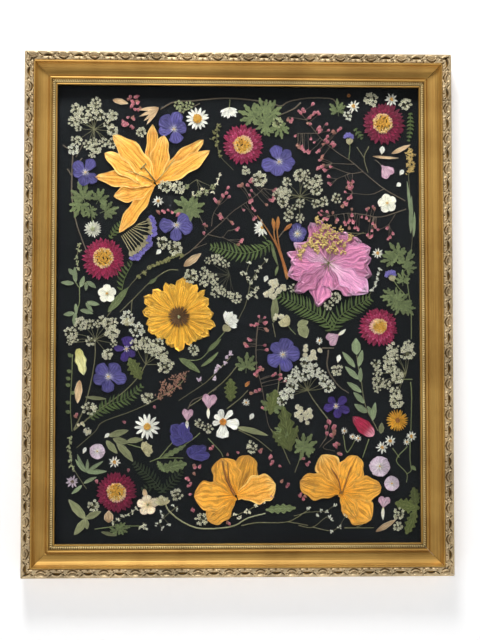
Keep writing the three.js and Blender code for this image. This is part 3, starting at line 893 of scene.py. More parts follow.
def lay_stem(rng: np.random.Generator, points: Sequence[Spot], thick: float, thin: float | None = None,
        height: float = 0.5, sides: int = 6) -> Patch:
    """Lays a stem: a flattened circle carried along a smooth path, closed by a point at both ends.

    Args:
        rng: the random source.
        points: places on its route.
        thick: the diameter at its first point.
        thin: the diameter at its last point.
        height: the height of its middle above the card.
        sides: points round it.

    Returns:
        The patch.
    """
    path = smooth_path(points)
    path[1:-1] += rng.normal(0, 0.08, path[1:-1].shape)
    count = len(path)
    way = np.gradient(path, axis=0)
    way /= np.linalg.norm(way, axis=1, keepdims=True) + 1e-9
    radius = np.linspace(thick, thick * 0.6 if thin is None else thin, count) / 2
    turn = np.arange(sides) * 2 * np.pi / sides
    swing = radius[:, None] * np.cos(turn)
    x = path[:, :1] - way[:, 1:] * swing
    z = path[:, 1:] + way[:, :1] * swing
    y = height + 0.7 * radius[:, None] * np.sin(turn)
    rings = np.stack([x, np.maximum(y, 0.04), z], -1).reshape(-1, 3)
    ends = np.array([[path[0, 0], height, path[0, 1]], [path[-1, 0], height, path[-1, 1]]])
    faces = tube_faces(count, sides, count * sides, count * sides + 1)
    along = np.append(np.repeat(np.linspace(0, 1, count), sides), [0, 1])
    across = np.append(np.tile(np.cos(turn), count), [0, 0])
    tint = np.full(len(along), rng.uniform(0.2, 0.8))
    marks = np.stack([along, across, tint], 1)
    return Patch(np.concatenate([rings, ends]), faces, marks, closed=True)


# ---- specimens ---------------------------------------------------------------------------

BRACT = Blade(widest=0.6, fullness=0.75, claw=0.4, cup=0.45, ruffle=0.05, ragged=0.05, rows=7, columns=5)
RAY = Blade(widest=0.6, fullness=0.45, claw=0.4, cup=0.15, ruffle=0.06, rows=8, columns=5)
ROUND_PETAL = Blade(widest=0.66, fullness=0.6, claw=0.18, notch=0.05, cup=0.25, ruffle=0.2, ragged=0.07,
    rows=14, columns=11)
TOOTHED_RAY = Blade(widest=0.8, fullness=0.26, claw=0.42, frill=0.035, frills=3.0, cup=0.3, ruffle=0.3,
    ragged=0.05, rows=16, columns=11)
LILY_PETAL = Blade(widest=0.52, fullness=0.62, claw=0.3, cup=0.4, ruffle=0.4, ragged=0.12, rows=22,
    columns=13)
BROAD_PETAL = Blade(widest=0.66, fullness=0.55, claw=0.2, frill=0.06, frills=7.0, cup=0.12, ruffle=0.15,
    ruffles=8.0, ragged=0.22, rows=24, columns=21)
LEAFLET = Blade(widest=0.45, fullness=0.85, claw=0.1, cup=0.1, rows=8, columns=5)
CUT_LEAF = Blade(widest=0.66, fullness=0.5, claw=0.26, teeth=3, bite=0.36, cup=0.1, rows=24, columns=7)
OVAL_LEAF = Blade(widest=0.45, fullness=0.75, claw=0.08, cup=0.25, ruffle=0.15, ragged=0.05, rows=16,
    columns=9)
SPECK = Blade(widest=0.6, fullness=0.5, claw=0.4, cup=0.2, ruffle=0.0, rows=4, columns=3)
BUD_SCALE = Blade(widest=0.66, fullness=0.6, claw=0.24, cup=-0.3, ruffle=0.0, ragged=0.03, rows=7,
    columns=5)
TOOTHED_LEAF = Blade(widest=0.5, fullness=0.6, claw=0.1, teeth=5, bite=0.42, cup=0.2, ruffle=0.15, rows=32,
    columns=9)


def spiral(middle: Spot, radius: float, count: int) -> np.ndarray:
    """Places spread evenly in a disc: turns of the golden angle, as far out as the root of their number.

    Args:
        middle: the disc's middle.
        radius: its radius.
        count: how many places.

    Returns:
        The places.
    """
    k = np.arange(count) + 0.5
    r = radius * np.sqrt(k / count)
    turn = GOLDEN_ANGLE * k
    return np.array(middle) + np.stack([r * np.cos(turn), r * np.sin(turn)], 1)


def unit(angle: float) -> np.ndarray:
    """A step of one millimetre in the direction of that many degrees."""
    turn = math.radians(angle)
    return np.array([math.cos(turn), math.sin(turn)])


def reach(start: np.ndarray, end: np.ndarray) -> tuple[np.ndarray, np.ndarray]:
    """The direction in degrees and the distance from start to end."""
    way = np.atleast_2d(end) - np.atleast_2d(start)
    return np.degrees(np.arctan2(way[:, 1], way[:, 0])), np.hypot(way[:, 0], way[:, 1])


@dataclass
class Specimen:
    """One specimen, or some of a kind: its name, its slot in the record, and if CAD has a solid for it."""

    name: str
    slot: str
    solid: bool = False

    def grow(self, sheaf: Sheaf) -> None:
        """Adds the specimen's patches to its sheaf.

        Args:
            sheaf: the sheaf, with its own random source.
        """

    def build(self, card: Card) -> bpy.types.Object:
        """Builds the piece, in place of the solid of its name if there is one.

        Args:
            card: the card that it lies on.

        Returns:
            The piece.
        """
        sheaf = Sheaf(f"{self.name}_pressed" if self.solid else self.name, card)
        self.grow(sheaf)
        return sheaf.build(self.slot, [self.name] if self.solid else [])


@dataclass
class Strawflower(Specimen):
    """Rings of papery bracts that open round a disc of gold florets, which lies off the middle."""

    at: Spot = (0, 0)
    radius: float = 22
    disc: Spot = (0, 0)
    disc_radius: float = 10
    pale: float = 0.0
    pale_width: float = 2.5
    outer: Finish = CRIMSON
    inner: Finish = ROSE
    rings: tuple[tuple[float, int, float], ...] = ((1.03, 33, 3.7), (0.95, 30, 3.5), (0.85, 27, 3.3),
        (0.74, 24, 3.0), (0.64, 21, 2.7))

    def grow(self, sheaf: Sheaf) -> None:
        """Bracts from the disc to each ring's radius, a pale collar on one side, then the florets.

        Args:
            sheaf: the sheaf, with its own random source.
        """
        disc = np.array(self.disc)
        for index, (share, count, width) in enumerate(self.rings):
            turn = np.arange(count) * 2 * np.pi / count + index * 0.13 + sheaf.rng.normal(0, 0.03, count)
            spoke = np.stack([np.cos(turn), np.sin(turn)], 1)
            base = disc + spoke * self.disc_radius * 0.7
            tip = np.array(self.at) + spoke * self.radius * share * sheaf.rng.uniform(0.95, 1.04,
                (count, 1))
            angle, length = reach(base, tip)
            finish = (self.outer, DEEP_CRIMSON, self.outer, self.inner, self.outer)[index % 5]
            bend = sheaf.rng.normal(0, 8, count)
            sheaf.add(finish, lay_blades, BRACT, base, angle, length, width, bend, height=1.0 + 0.3 * index,
                lift=0.4)
        turn = np.arange(26) * 2 * np.pi / 26
        near = np.clip(np.cos(turn - math.radians(self.pale)), 0, 1)
        spoke = np.stack([np.cos(turn), np.sin(turn)], 1)
        length = sheaf.rng.uniform(2.0, 3.6, 26) + self.pale_width * near
        base = disc + spoke * (self.disc_radius - 3.2)
        sheaf.add(PALE_BRACT, lay_blades, BRACT, base, np.degrees(turn), length, 2.2, 0.0, height=2.5,
            lift=0.5)
        spots = spiral(self.disc, self.disc_radius - 1.2, 130)
        spots = spots + sheaf.rng.normal(0, 0.45, spots.shape)
        rise = 2.7 + 0.8 * sheaf.rng.random(len(spots))
        far = np.hypot(*(spots - disc).T) / self.disc_radius + sheaf.rng.normal(0, 0.16, len(spots))
        for chosen, finish in ((far < 0.74, GOLD_FLORET), (far >= 0.74, CREAM_FLORET)):
            sheaf.add(finish, lay_beads, spots[chosen], 1.0, rise[chosen], 0.8, 3, 6)
            turn = sheaf.rng.uniform(0, 360, int(chosen.sum()))
            sheaf.add(finish, lay_blades, SPECK, spots[chosen], turn, 2.0, 0.8, 0.0, rise[chosen] + 0.4,
                0.3)


@dataclass
class OpenFlower(Specimen):
    """A flower pressed flat: petals as (degrees, length, width) round a middle."""

    at: Spot = (0, 0)
    petals: Sequence[tuple[float, float, float]] = ()
    finish: Finish = VIOLET
    shape: Blade = ROUND_PETAL
    eye: Finish | None = CREAM_FLORET
    eye_radius: float = 1.2
    eye_beads: int = 7
    stamens: int = 8
    stamen_length: float = 4.0
    height: float = 1.3
    stamen: Finish = WHITE

    def grow(self, sheaf: Sheaf) -> None:
        """Petals that lie over each other in turn, then the stamens and the eye.

        Args:
            sheaf: the sheaf, with its own random source.
        """
        angle, length, width = np.array(self.petals, float).T
        lift = sheaf.rng.uniform(0.1, 0.6, len(angle))
        bend = sheaf.rng.normal(0, 6, len(angle))
        sheaf.add(self.finish, lay_blades, self.shape, self.at, angle, length, width, bend, self.height,
            lift, overlap=0.18)
        middle = np.array(self.at, float)
        if self.stamens:
            turn = np.arange(self.stamens) * 360 / self.stamens + sheaf.rng.uniform(-9, 9, self.stamens)
            sheaf.add(self.stamen, lay_blades, SPECK, middle, turn, self.stamen_length,
                self.stamen_length * 0.14, 0.0, self.height + 0.9, 0.3)
        if self.eye:
            spots = spiral(tuple(middle), self.eye_radius, self.eye_beads)
            size = max(0.42, self.eye_radius / math.sqrt(self.eye_beads) * 1.15)
            sheaf.add(self.eye, lay_beads, spots, size, self.height + 1.2, 0.7, 3, 6)


@dataclass
class Fan(Specimen):
    """Long petals spread from one base, as (tip x, tip z, width), with pistils along paths."""

    base: Spot = (0, 0)
    tips: Sequence[tuple[float, float, float]] = ()
    finishes: Sequence[Finish] = (ORANGE,)
    shape: Blade = LILY_PETAL
    spread: float = 1.2
    pistils: Sequence[tuple[Sequence[Spot], float]] = ()
    pistil: Finish = TAN
    height: float = 1.2

    def grow(self, sheaf: Sheaf) -> None:
        """Petals from the base to their tips, each a little higher than the last, then the pistils.

        Args:
            sheaf: the sheaf, with its own random source.
        """
        for index, (x, z, width) in enumerate(self.tips):
            angle, length = reach(np.array(self.base), np.array([x, z]))
            start = np.array(self.base) + self.spread * unit(angle[0])
            finish = self.finishes[index % len(self.finishes)]
            rise = self.height + 0.16 * ((index * 5) % 7)
            sheaf.add(finish, lay_blades, self.shape, start, angle, length - self.spread, width,
                sheaf.rng.normal(0, 7), rise, 0.5, overlap=0.1)
        for path, thick in self.pistils:
            sheaf.add(self.pistil, lay_stem, path, thick, thick * 0.7, self.height + 2.0)


@dataclass
class Umbel(Specimen):
    """A flat head of umbellets as (x, z, radius) on thin rays from a centre, with its stem."""

    centre: Spot | None = None
    heads: Sequence[tuple[float, float, float]] = ()
    stem: Sequence[Spot] = ()
    finish: Finish = UMBEL
    rays: Finish = STEM
    height: float = 1.5

    def grow(self, sheaf: Sheaf) -> None:
        """Rays, then for each umbellet a ring of stalks and florets of five specks each.

        Args:
            sheaf: the sheaf, with its own random source.
        """
        rng = sheaf.rng
        for x, z, radius in self.heads:
            if self.centre:
                a, b = np.array(self.centre), np.array([x, z])
                bow = (b - a)[::-1] * np.array([-1, 1]) * rng.uniform(-0.06, 0.06)
                sheaf.add(self.rays, lay_stem, [a, (a + b) / 2 + bow, b], 0.55, 0.4, 0.7, 4)
            outer, inner = max(6, int(1.5 * radius)), max(2, int(0.45 * radius))
            count = outer + inner
            turn = np.concatenate([np.arange(outer) / outer,
                np.arange(inner) / inner]) * 2 * np.pi + rng.uniform(0, 6)
            far = radius * np.repeat([0.84, 0.4], [outer, inner])
            spots = np.stack([x + far * np.cos(turn), z + far * np.sin(turn)], 1)
            spots = spots + rng.normal(0, radius * 0.1, (count, 2))
            angle, length = reach(np.array([x, z]), spots)
            sheaf.add(self.rays, lay_blades, SPECK, (x, z), angle, length, 0.4, 0.0, self.height - 0.3, 0.2)
            petals = np.repeat(spots, 5, 0)
            turn = np.tile(np.arange(5) * 72.0, count) + np.repeat(rng.uniform(0, 72, count), 5)
            size = np.clip(radius * 0.37, 1.3, 2.5) * np.repeat(rng.uniform(0.65, 1.15, count), 5)
            sheaf.add(self.finish, lay_blades, SPECK, petals, turn,
                size * rng.uniform(0.75, 1.15, len(turn)), size * 0.66, 0.0,
                self.height + rng.uniform(0, 0.8, len(turn)), 0.25)
        if len(self.stem) > 1:
            sheaf.add(self.rays, lay_stem, self.stem, 0.8, 1.4, 0.5)


def nearest(stems: Sequence[Sequence[Spot]], spot: Spot) -> np.ndarray:
    """The point on the stems that is closest to the spot."""
    places = np.concatenate([smooth_path(stem, 1.0) for stem in stems])
    return places[np.argmin(np.hypot(*(places - np.array(spot)).T))]


@dataclass
class BellSprig(Specimen):
    """A branching stem hung with small bells, each on a thread from the nearest branch."""

    stems: Sequence[Sequence[Spot]] = ()
    bells: Sequence[Spot] = ()
    finish: Finish = BELL
    other: Finish = BROWN_BELL
    wood: Finish = BARK_STEM
    size: float = 4.8
    thick: float = 1.1

    def grow(self, sheaf: Sheaf) -> None:
        """Stems, threads and bells of three scales, which open away from the stem.

        Args:
            sheaf: the sheaf, with its own random source.
        """
        rng = sheaf.rng
        for index, stem in enumerate(self.stems):
            sheaf.add(self.wood, lay_stem, stem, self.thick * (1 if index == 0 else 0.7), 0.4, 0.5)
        bells = np.asarray(self.bells, float)
        twins = bells[rng.random(len(bells)) < 0.55]
        bells = np.concatenate([bells, twins + rng.choice([-1, 1], twins.shape) * rng.uniform(1.2, 2.4,
            twins.shape)])
        for index, spot in enumerate(bells):
            root = nearest(self.stems, spot) if self.stems else np.array(spot) + rng.normal(0, 3, 2)
            angle, distance = reach(root, np.array(spot))
            angle = angle[0] + rng.normal(0, 14)
            heading = unit(angle)
            size = self.size * rng.uniform(0.78, 1.15)
            start = np.array(spot) - heading * size * 0.5
            if self.stems and distance[0] > size * 0.4:
                sheaf.add(self.wood, lay_stem, [root, (root + start) / 2 + rng.normal(0, 0.4, 2), start],
                    0.4, 0.35, 0.7, 4)
            finish = self.other if index % 5 == 3 else self.finish
            sheaf.add(finish, lay_blades, BUD_SCALE, start, angle + np.array([-17, 17, 0.0]), size,
                size * np.array([0.4, 0.4, 0.5]), np.array([12.0, -12, 0]), np.array([1.5, 1.6, 1.9]), 0.3)


@dataclass
class Fern(Specimen):
    """A frond: leaflets on both sides of a path, longest in its middle."""

    fronds: Sequence[tuple[Sequence[Spot], float]] = ()
    finish: Finish = FERN
    spacing: float = 3.7
    lean: float = 66.0
    sides: Sequence[int] = (-1, 1)
    height: float = 0.8

    def grow(self, sheaf: Sheaf) -> None:
        """The rib, and cut leaflets that lean towards the tip.

        Args:
            sheaf: the sheaf, with its own random source.
        """
        rng = sheaf.rng
        for path, longest in self.fronds:
            spots = smooth_path(path, self.spacing)
            way = np.gradient(spots, axis=0)
            heading = np.degrees(np.arctan2(way[:, 1], way[:, 0]))
            share = np.linspace(0, 1, len(spots))
            length = longest * (0.35 + 0.65 * np.sin(np.pi * np.clip(share * 0.86 + 0.12, 0, 1)))
            sheaf.add(self.finish, lay_stem, path, 0.9, 0.4, self.height)
            for side in self.sides:
                angle = heading + side * (self.lean + rng.normal(0, 4, len(spots)))
                sheaf.add(self.finish, lay_blades, replace(LEAFLET, widest=0.35, claw=0.5), spots, angle,
                    length, self.spacing * 0.56, -side * 14.0, self.height, 0.4)


@dataclass
class LobedLeaves(Specimen):
    """Leaves cut into toothed lobes, as (x, z, radius, degrees the leaf points in)."""

    leaves: Sequence[tuple[float, float, float, float]] = ()
    finish: Finish = LEAF
    lobes: Sequence[float] = (-100, -66, -33, 0, 33, 66, 100)
    shape: Blade = CUT_LEAF
    width: float = 0.46
    height: float = 0.8

    def grow(self, sheaf: Sheaf) -> None:
        """Lobes fanned from each leaf's foot, the middle one longest, with a short stalk.

        Args:
            sheaf: the sheaf, with its own random source.
        """
        rng = sheaf.rng
        for x, z, radius, pointing in self.leaves:
            way = unit(pointing)
            foot = np.array([x, z]) - radius * 0.62 * way
            turn = np.array(self.lobes) + rng.normal(0, 4, len(self.lobes))
            length = radius * (1.62 - 0.0075 * np.abs(turn)) * rng.uniform(0.92, 1.06, len(turn))
            sheaf.add(self.finish, lay_blades, self.shape, foot, pointing + turn, length,
                radius * self.width, turn * 0.12, self.height, 0.5)
            tail = foot - way * radius * 0.6
            sheaf.add(self.finish, lay_stem, [tail, foot], 0.7, 0.6, 0.6, 5)


@dataclass
class PlainLeaves(Specimen):
    """Undivided leaves, as (base x, base z, tip x, tip z, width)."""

    leaves: Sequence[tuple[float, float, float, float, float]] = ()
    finish: Finish = LEAF
    shape: Blade = OVAL_LEAF
    height: float = 0.9
    curl: float = 10.0

    def grow(self, sheaf: Sheaf) -> None:
        """Every leaf from base to tip, bent a little to one side.

        Args:
            sheaf: the sheaf, with its own random source.
        """
        table = np.array(self.leaves, float)
        angle, length = reach(table[:, :2], table[:, 2:4])
        bend = sheaf.rng.normal(0, self.curl, len(table))
        sheaf.add(self.finish, lay_blades, self.shape, table[:, :2], angle - bend / 2, length, table[:, 4],
            bend, self.height, 0.5)


@dataclass
class BeadSpike(Specimen):
    """Seeds or tiny buds along stems, each a knot of beads with a few scales."""

    stems: Sequence[Sequence[Spot]] = ()
    spots: Sequence[Spot] = ()
    finish: Finish = PEARL
    wood: Finish = STEM
    size: float = 1.5
    knot: int = 5
    spread: float = 1.5
    height: float = 1.3
    threads: bool = True
    scales: bool = True

    def grow(self, sheaf: Sheaf) -> None:
        """Stems, threads and knots of beads.

        Args:
            sheaf: the sheaf, with its own random source.
        """
        rng = sheaf.rng
        for stem in self.stems:
            sheaf.add(self.wood, lay_stem, stem, 0.8, 0.45, 0.5)
        for spot in self.spots:
            if self.stems and self.threads:
                root = nearest(self.stems, spot)
                if np.hypot(*(root - np.array(spot))) > 1.5:
                    sheaf.add(self.wood, lay_stem, [root, np.array(spot)], 0.35, 0.3, 0.6, 4)
            around = np.array(spot) + rng.normal(0, self.spread * 0.6, (self.knot, 2))
            sheaf.add(self.finish, lay_beads, around, self.size * 0.5, self.height, 0.8, 3, 6)
            if self.scales:
                sheaf.add(self.finish, lay_blades, SPECK, around, rng.uniform(0, 360, self.knot),
                    self.size * 1.3, self.size * 0.8, 0.0, self.height, 0.4)


@dataclass
class Stems(Specimen):
    """Bare stems and twigs along paths, with the diameters at both ends."""

    paths: Sequence[Sequence[Spot]] = ()
    finish: Finish = STEM
    thick: float = 1.0
    thin: float = 0.7
    height: float = 0.5

    def grow(self, sheaf: Sheaf) -> None:
        """Every stem on its path."""
        for path in self.paths:
            sheaf.add(self.finish, lay_stem, path, self.thick, self.thin, self.height)


@dataclass
class Tufts(Specimen):
    """Soft heads of narrow florets fanned about one direction, as (x, z, radius, degrees, opening)."""

    heads: Sequence[tuple[float, float, float, float, float]] = ()
    finish: Finish = BUTTER
    shape: Blade = field(default_factory=lambda: replace(BRACT, fullness=0.6))
    florets: int = 16
    width: float = 0.45
    stems: Sequence[Sequence[Spot]] = ()
    wood: Finish = GREEN_STEM
    height: float = 1.2
    eye: Finish | None = None
    scatter: int = 1

    def grow(self, sheaf: Sheaf) -> None:
        """Three layers of florets from each head's foot, with shorter ones above.

        Args:
            sheaf: the sheaf, with its own random source.
        """
        rng = sheaf.rng
        for stem in self.stems:
            sheaf.add(self.wood, lay_stem, stem, 0.9, 0.7, 0.5)
        heads = np.repeat(np.asarray(self.heads, float), self.scatter, 0)
        if self.scatter > 1:
            heads[:, :2] += rng.uniform(-0.75, 0.75, (len(heads), 2)) * heads[:, 2:3]
            heads[:, 2] *= rng.uniform(0.38, 0.6, len(heads))
        for x, z, radius, pointing, opening in heads:
            whole = opening >= 359
            slip = 0.0 if whole else 0.75 * radius
            foot = np.array([x, z]) - slip * unit(pointing)
            longest = radius if whole else 1.7 * radius
            for layer, share in enumerate((1.0, 0.78, 0.55)):
                count = max(4, int(self.florets * (1 - 0.2 * layer)))
                turn = pointing + np.linspace(-opening / 2, opening / 2, count, endpoint=not whole)
                turn = turn + rng.normal(0, 3, count) + 5 * layer
                length = longest * share * rng.uniform(0.86, 1.08, count)
                sheaf.add(self.finish, lay_blades, self.shape, foot, turn, length, length * self.width,
                    rng.normal(0, 8, count), self.height + 0.35 * layer, 0.4)
            if self.eye:
                spots = spiral(tuple(foot), radius * 0.26, 9)
                sheaf.add(self.eye, lay_beads, spots, max(0.4, radius * 0.1), self.height + 1.2, 0.7, 3, 6)


@dataclass
class Hearts(Specimen):
    """Bleeding hearts, as (point x, point z, lobes x, lobes z, width, drop)."""

    hearts: Sequence[tuple[float, ...]] = ()
    stalks: Sequence[Sequence[Spot]] = ()

    def grow(self, sheaf: Sheaf) -> None:
        """Two rounded lobes from each heart's point, and the pale drop that hangs beyond the point.

        Args:
            sheaf: the sheaf, with its own random source.
        """
        for stalk in self.stalks:
            sheaf.add(BARK_STEM, lay_stem, stalk, 1.0, 0.7, 0.7)
        lobe = replace(ROUND_PETAL, widest=0.7, fullness=0.65, cup=-0.3)
        for x, z, far_x, far_z, width, drop in self.hearts:
            point, far = np.array([x, z]), np.array([far_x, far_z])
            angle, length = reach(point, far)
            spread = math.degrees(math.atan2(width * 0.24, length[0]))
            sheaf.add(HEART, lay_blades, lobe, point, angle[0] + np.array([spread, -spread]), length * 1.04,
                width * 0.56, np.array([10.0, -10.0]), 1.4, 0.3)
            if drop:
                sheaf.add(IVORY, lay_blades, LEAFLET, point + (far - point) * 0.12, angle + 180, drop, 3.6,
                    14.0, 1.7, 0.2)


# ---- the frame ---------------------------------------------------------------------------


class Side(Enum):
    """The four sides of the frame."""

    BOTTOM = "bottom"
    RIGHT = "right"
    TOP = "top"
    LEFT = "left"

    @property
    def upright(self) -> bool:
        """Whether the side stands up."""
        return self in (Side.RIGHT, Side.LEFT)


@dataclass(frozen=True)
class Opening:
    """In millimetres: half the sight opening, the card's face above the rails' back, the mitre's gap."""

    half_width: float = 196.85
    half_height: float = 247.65
    card_face: float = 7.1
    mitre_gap: float = 0.22

    def half(self, side: Side) -> float:
        """Half the length of a side's sight edge."""
        return self.half_height if side.upright else self.half_width

    def place(self, side: Side, along: np.ndarray, out: np.ndarray, height: np.ndarray) -> np.ndarray:
        """Turns places along a side into points on the card's axes.

        Args:
            side: the side.
            along: the way along it, from its middle.
            out: the way out from its sight edge.
            height: the height above the rails' back.

        Returns:
            The points as (x, height, z).
        """
        x, z = {Side.BOTTOM: (along, -self.half_height - out), Side.RIGHT: (self.half_width + out, along),
            Side.TOP: (-along, self.half_height + out), Side.LEFT: (-self.half_width - out, -along)}[side]
        return np.stack([x, height - self.card_face, z], -1)


@dataclass
class Moulding:
    """A strip of ornament: a closed profile carried along a side, its face raised by a height field."""

    name: str
    side: Side
    inner: float
    outer: float
    base: float
    crest: float
    columns: int
    step: float
    finishes: tuple[Finish, Finish] = (CARVED_X, CARVED_Z)
    opening: Opening = Opening()

    def face(self, along: np.ndarray, across: np.ndarray) -> np.ndarray:
        """How high the carving stands.

        Args:
            along: the way along the side, in millimetres.
            across: the way out over the strip, from 0 to 1.

        Returns:
            The height as a share of the crest.
        """
        raise NotImplementedError

    def build(self, card: Card) -> bpy.types.Object:
        """The face's grid, closed round its back, with a fan of triangles at both mitres.

        Args:
            card: the card, whose axes it is laid out on.

        Returns:
            The piece.
        """
        half = self.opening.half(self.side)
        rows = int(2 * (half + self.outer) / self.step)
        t = np.linspace(-1, 1, rows)[:, None]
        across = np.linspace(0, 1, self.columns)[None, :]
        out = self.inner + (self.outer - self.inner) * across
        along = t * (half + out - self.opening.mitre_gap)
        share = np.clip(self.face(along, across + 0 * t), 0.03, 1.0)
        share[:, [0, -1]] = 0.03
        height = self.base + (self.crest - self.base) * share
        out = out + 0 * t
        back = np.array([[self.outer - 0.05, self.inner + 0.05]]) + 0 * t
        out = np.concatenate([out, back], 1)
        along = np.concatenate([along, t * (half + back - self.opening.mitre_gap)], 1)
        height = np.concatenate([height, np.full((rows, 2), self.base)], 1)
        relief = np.concatenate([share, np.zeros((rows, 2))], 1)
        ring = self.columns + 2
        points = self.opening.place(self.side, along, out, height).reshape(-1, 3)
        ends = [points[:ring].mean(0), points[-ring:].mean(0)]
        points = card.place(np.concatenate([points, ends]))
        faces = orient(points, tube_faces(rows, ring, rows * ring, rows * ring + 1))
        finish = self.finishes[int(self.side.upright)]
        marks = {"relief": np.append(relief.ravel(), [0.3, 0.3])}
        piece = mesh_object(f"{self.name}_carved", points, [(group, 0) for group in faces], marks, [finish])
        finish_piece(piece, [self.name])
        return piece


def bump_field(x: np.ndarray, y: np.ndarray, x0: float, y0: float, long: float, wide: float,
        turn: float = 0.0) -> np.ndarray:
    """A rounded bump: e to the minus squared distance, over its length and width on turned axes.

    Args:
        x, y: where it is measured.
        x0, y0: its middle.
        long, wide: its length and width.
        turn: how far it is turned, in degrees.

    Returns:
        Its height, from 0 to 1.
    """
    c, s = math.cos(math.radians(turn)), math.sin(math.radians(turn))
    u = (x - x0) * c + (y - y0) * s
    v = -(x - x0) * s + (y - y0) * c
    return np.exp(-(u / long) ** 2 - (v / wide) ** 2)


@dataclass
class ScrollOrnament(Moulding):
    """A running scroll of acanthus: arches and cupped scrolls by turns, with curls and small buds."""

    period: float = 33.2

    def face(self, along: np.ndarray, across: np.ndarray) -> np.ndarray:
        """A period holds an arch over a lens-shaped hollow, then a cupped scroll with curls.

        Each line is e to the minus squared distance from it, over its width. Raised lines are added, and
        hollows, grooves and the notched lower edge are taken away.

        Args:
            along: the way along the side, in millimetres.
            across: the way out over the strip, from 0 to 1.

        Returns:
            The height as a share of the crest.
        """
        v = (across - 0.5) * (self.outer - self.inner)
        x = along - np.round(along / self.period) * self.period
        arch = np.clip(1 - ((x - 6.5) / 5.4) ** 2, 0, 1)
        hollow = np.sqrt(arch) * np.exp(-((v - 1.1 * arch) / (0.9 * arch + 0.2)) ** 2)
        bridge = arch * np.exp(-((v - 2.3 * arch - 0.9) / 0.7) ** 2)
        cup = np.clip(1.15 - ((x + 10.1) / 5.6) ** 4, 0, 1)
        bowl = v + 3.0 - 3.0 * ((x + 10.1) / 5.4) ** 2
        groove = cup * np.exp(-(bowl / 0.6) ** 2) + 0.5 * cup * np.exp(-((bowl - 2.7) / 0.4) ** 2)
        leaf = cup * np.exp(-((bowl - 1.4) / 0.9) ** 2)
        curl = np.zeros_like(x)
        for x0, v0, radius in ((-15.6, 1.4, 1.5), (-4.6, 1.6, 1.5), (12.8, -1.5, 1.3), (0.4, -1.3, 1.3)):
            away = np.hypot(x - x0, v - v0)
            curl = curl + np.exp(-((away - radius) / 0.45) ** 2) - 0.8 * np.exp(-(away / 0.55) ** 2)
        beads = bump_field(x, v, -3.4, -2.9, 0.8, 0.8) + bump_field(x, v, 3.4, -3.3, 1.9, 0.8)
        beads = beads + bump_field(x, v, 9.2, -3.2, 2.2, 0.9, -12) + bump_field(x, v, -10.1, 3.4, 3.4, 0.8)
        flow = bump_field(x, v, 13.8, 1.4, 2.6, 0.45, 38) + bump_field(x, v, -0.4, 2.0, 2.4, 0.45, -40)
        flow = flow + bump_field(x, v, -1.2, -3.0, 1.0, 0.4, 70) + bump_field(x, v, 6.2, -3.1, 0.5, 1.1)
        edge = np.exp(-(across / 0.09) ** 2) * (0.55 + 0.3 * np.cos(2 * np.pi * along / 5.53))
        total = 0.6 + 0.36 * bridge + 0.34 * leaf + 0.3 * curl + 0.3 * beads
        return total - 0.85 * hollow - 0.66 * groove - 0.5 * flow - edge


@dataclass
class BeadOrnament(Moulding):
    """A row of pearls in a channel, with a thin lip at the sight edge."""

    pitch: float = 2.4

    def face(self, along: np.ndarray, across: np.ndarray) -> np.ndarray:
        """Half balls on the pitch, a small hollow between each two, and the lip.

        Args:
            along: the way along the side, in millimetres.
            across: the way out over the strip, from 0 to 1.

        Returns:
            The height as a share of the crest.
        """
        out = across * (self.outer - self.inner)
        x = along - np.round(along / self.pitch) * self.pitch
        ball = np.sqrt(np.clip(1 - (x / 1.05) ** 2 - ((out - 2.0) / 1.2) ** 2, 0, 1))
        hole = np.exp(-((np.abs(x) - self.pitch / 2) / 0.36) ** 2 - ((out - 2.0) / 0.9) ** 2)
        return 0.55 + 0.4 * ball - 0.75 * hole


@dataclass
class PictureFrame:
    """The gilt frame, its glass, card and back."""

    nodes: dict
    opening: Opening = Opening()

    def dress(self, name: str, finish: Finish) -> None:
        """Gives a CAD node its finish.

        Args:
            name: the node.
            finish: its finish.
        """
        for slot in self.nodes[name].material_slots:
            slot.material = finish.material()
        LOG.info("%s: %s", name, finish.name)

    def build(self, card: Card) -> None:
        """Carves the ornament and dresses the nodes that stay.

        Args:
            card: the card, whose axes the ornament is laid out on.
        """
        for side in Side:
            ScrollOrnament(f"scroll_ornament_{side.value}", side, inner=23.0, outer=34.05, base=21.7,
                crest=27.0, columns=28, step=0.6).build(card)
            BeadOrnament(f"bead_ornament_{side.value}", side, inner=1.65, outer=4.95, base=16.75,
                crest=19.15, columns=9, step=0.49, finishes=(BEADS_X, BEADS_Z)).build(card)
            self.dress(f"rail_{side.value}", GILT_Z if side.upright else GILT_X)
            self.dress(f"spacer_{side.value}", SPACER)
        for name in self.nodes:
            if name.startswith("framers_point"):
                self.dress(name, STEEL)
        for name in ("hanger", "hanger_nail_1", "hanger_nail_2"):
            self.dress(name, STEEL)
        for name in ("felt_bumper_1", "felt_bumper_2"):
            self.dress(name, FELT)
        self.dress("mount_card", CARD)
        self.dress("backing_board", BOARD)
        self.dress("glass_pane", GLASS)
        self.nodes["glass_pane"].visible_shadow = False


# ---- studio ------------------------------------------------------------------------------


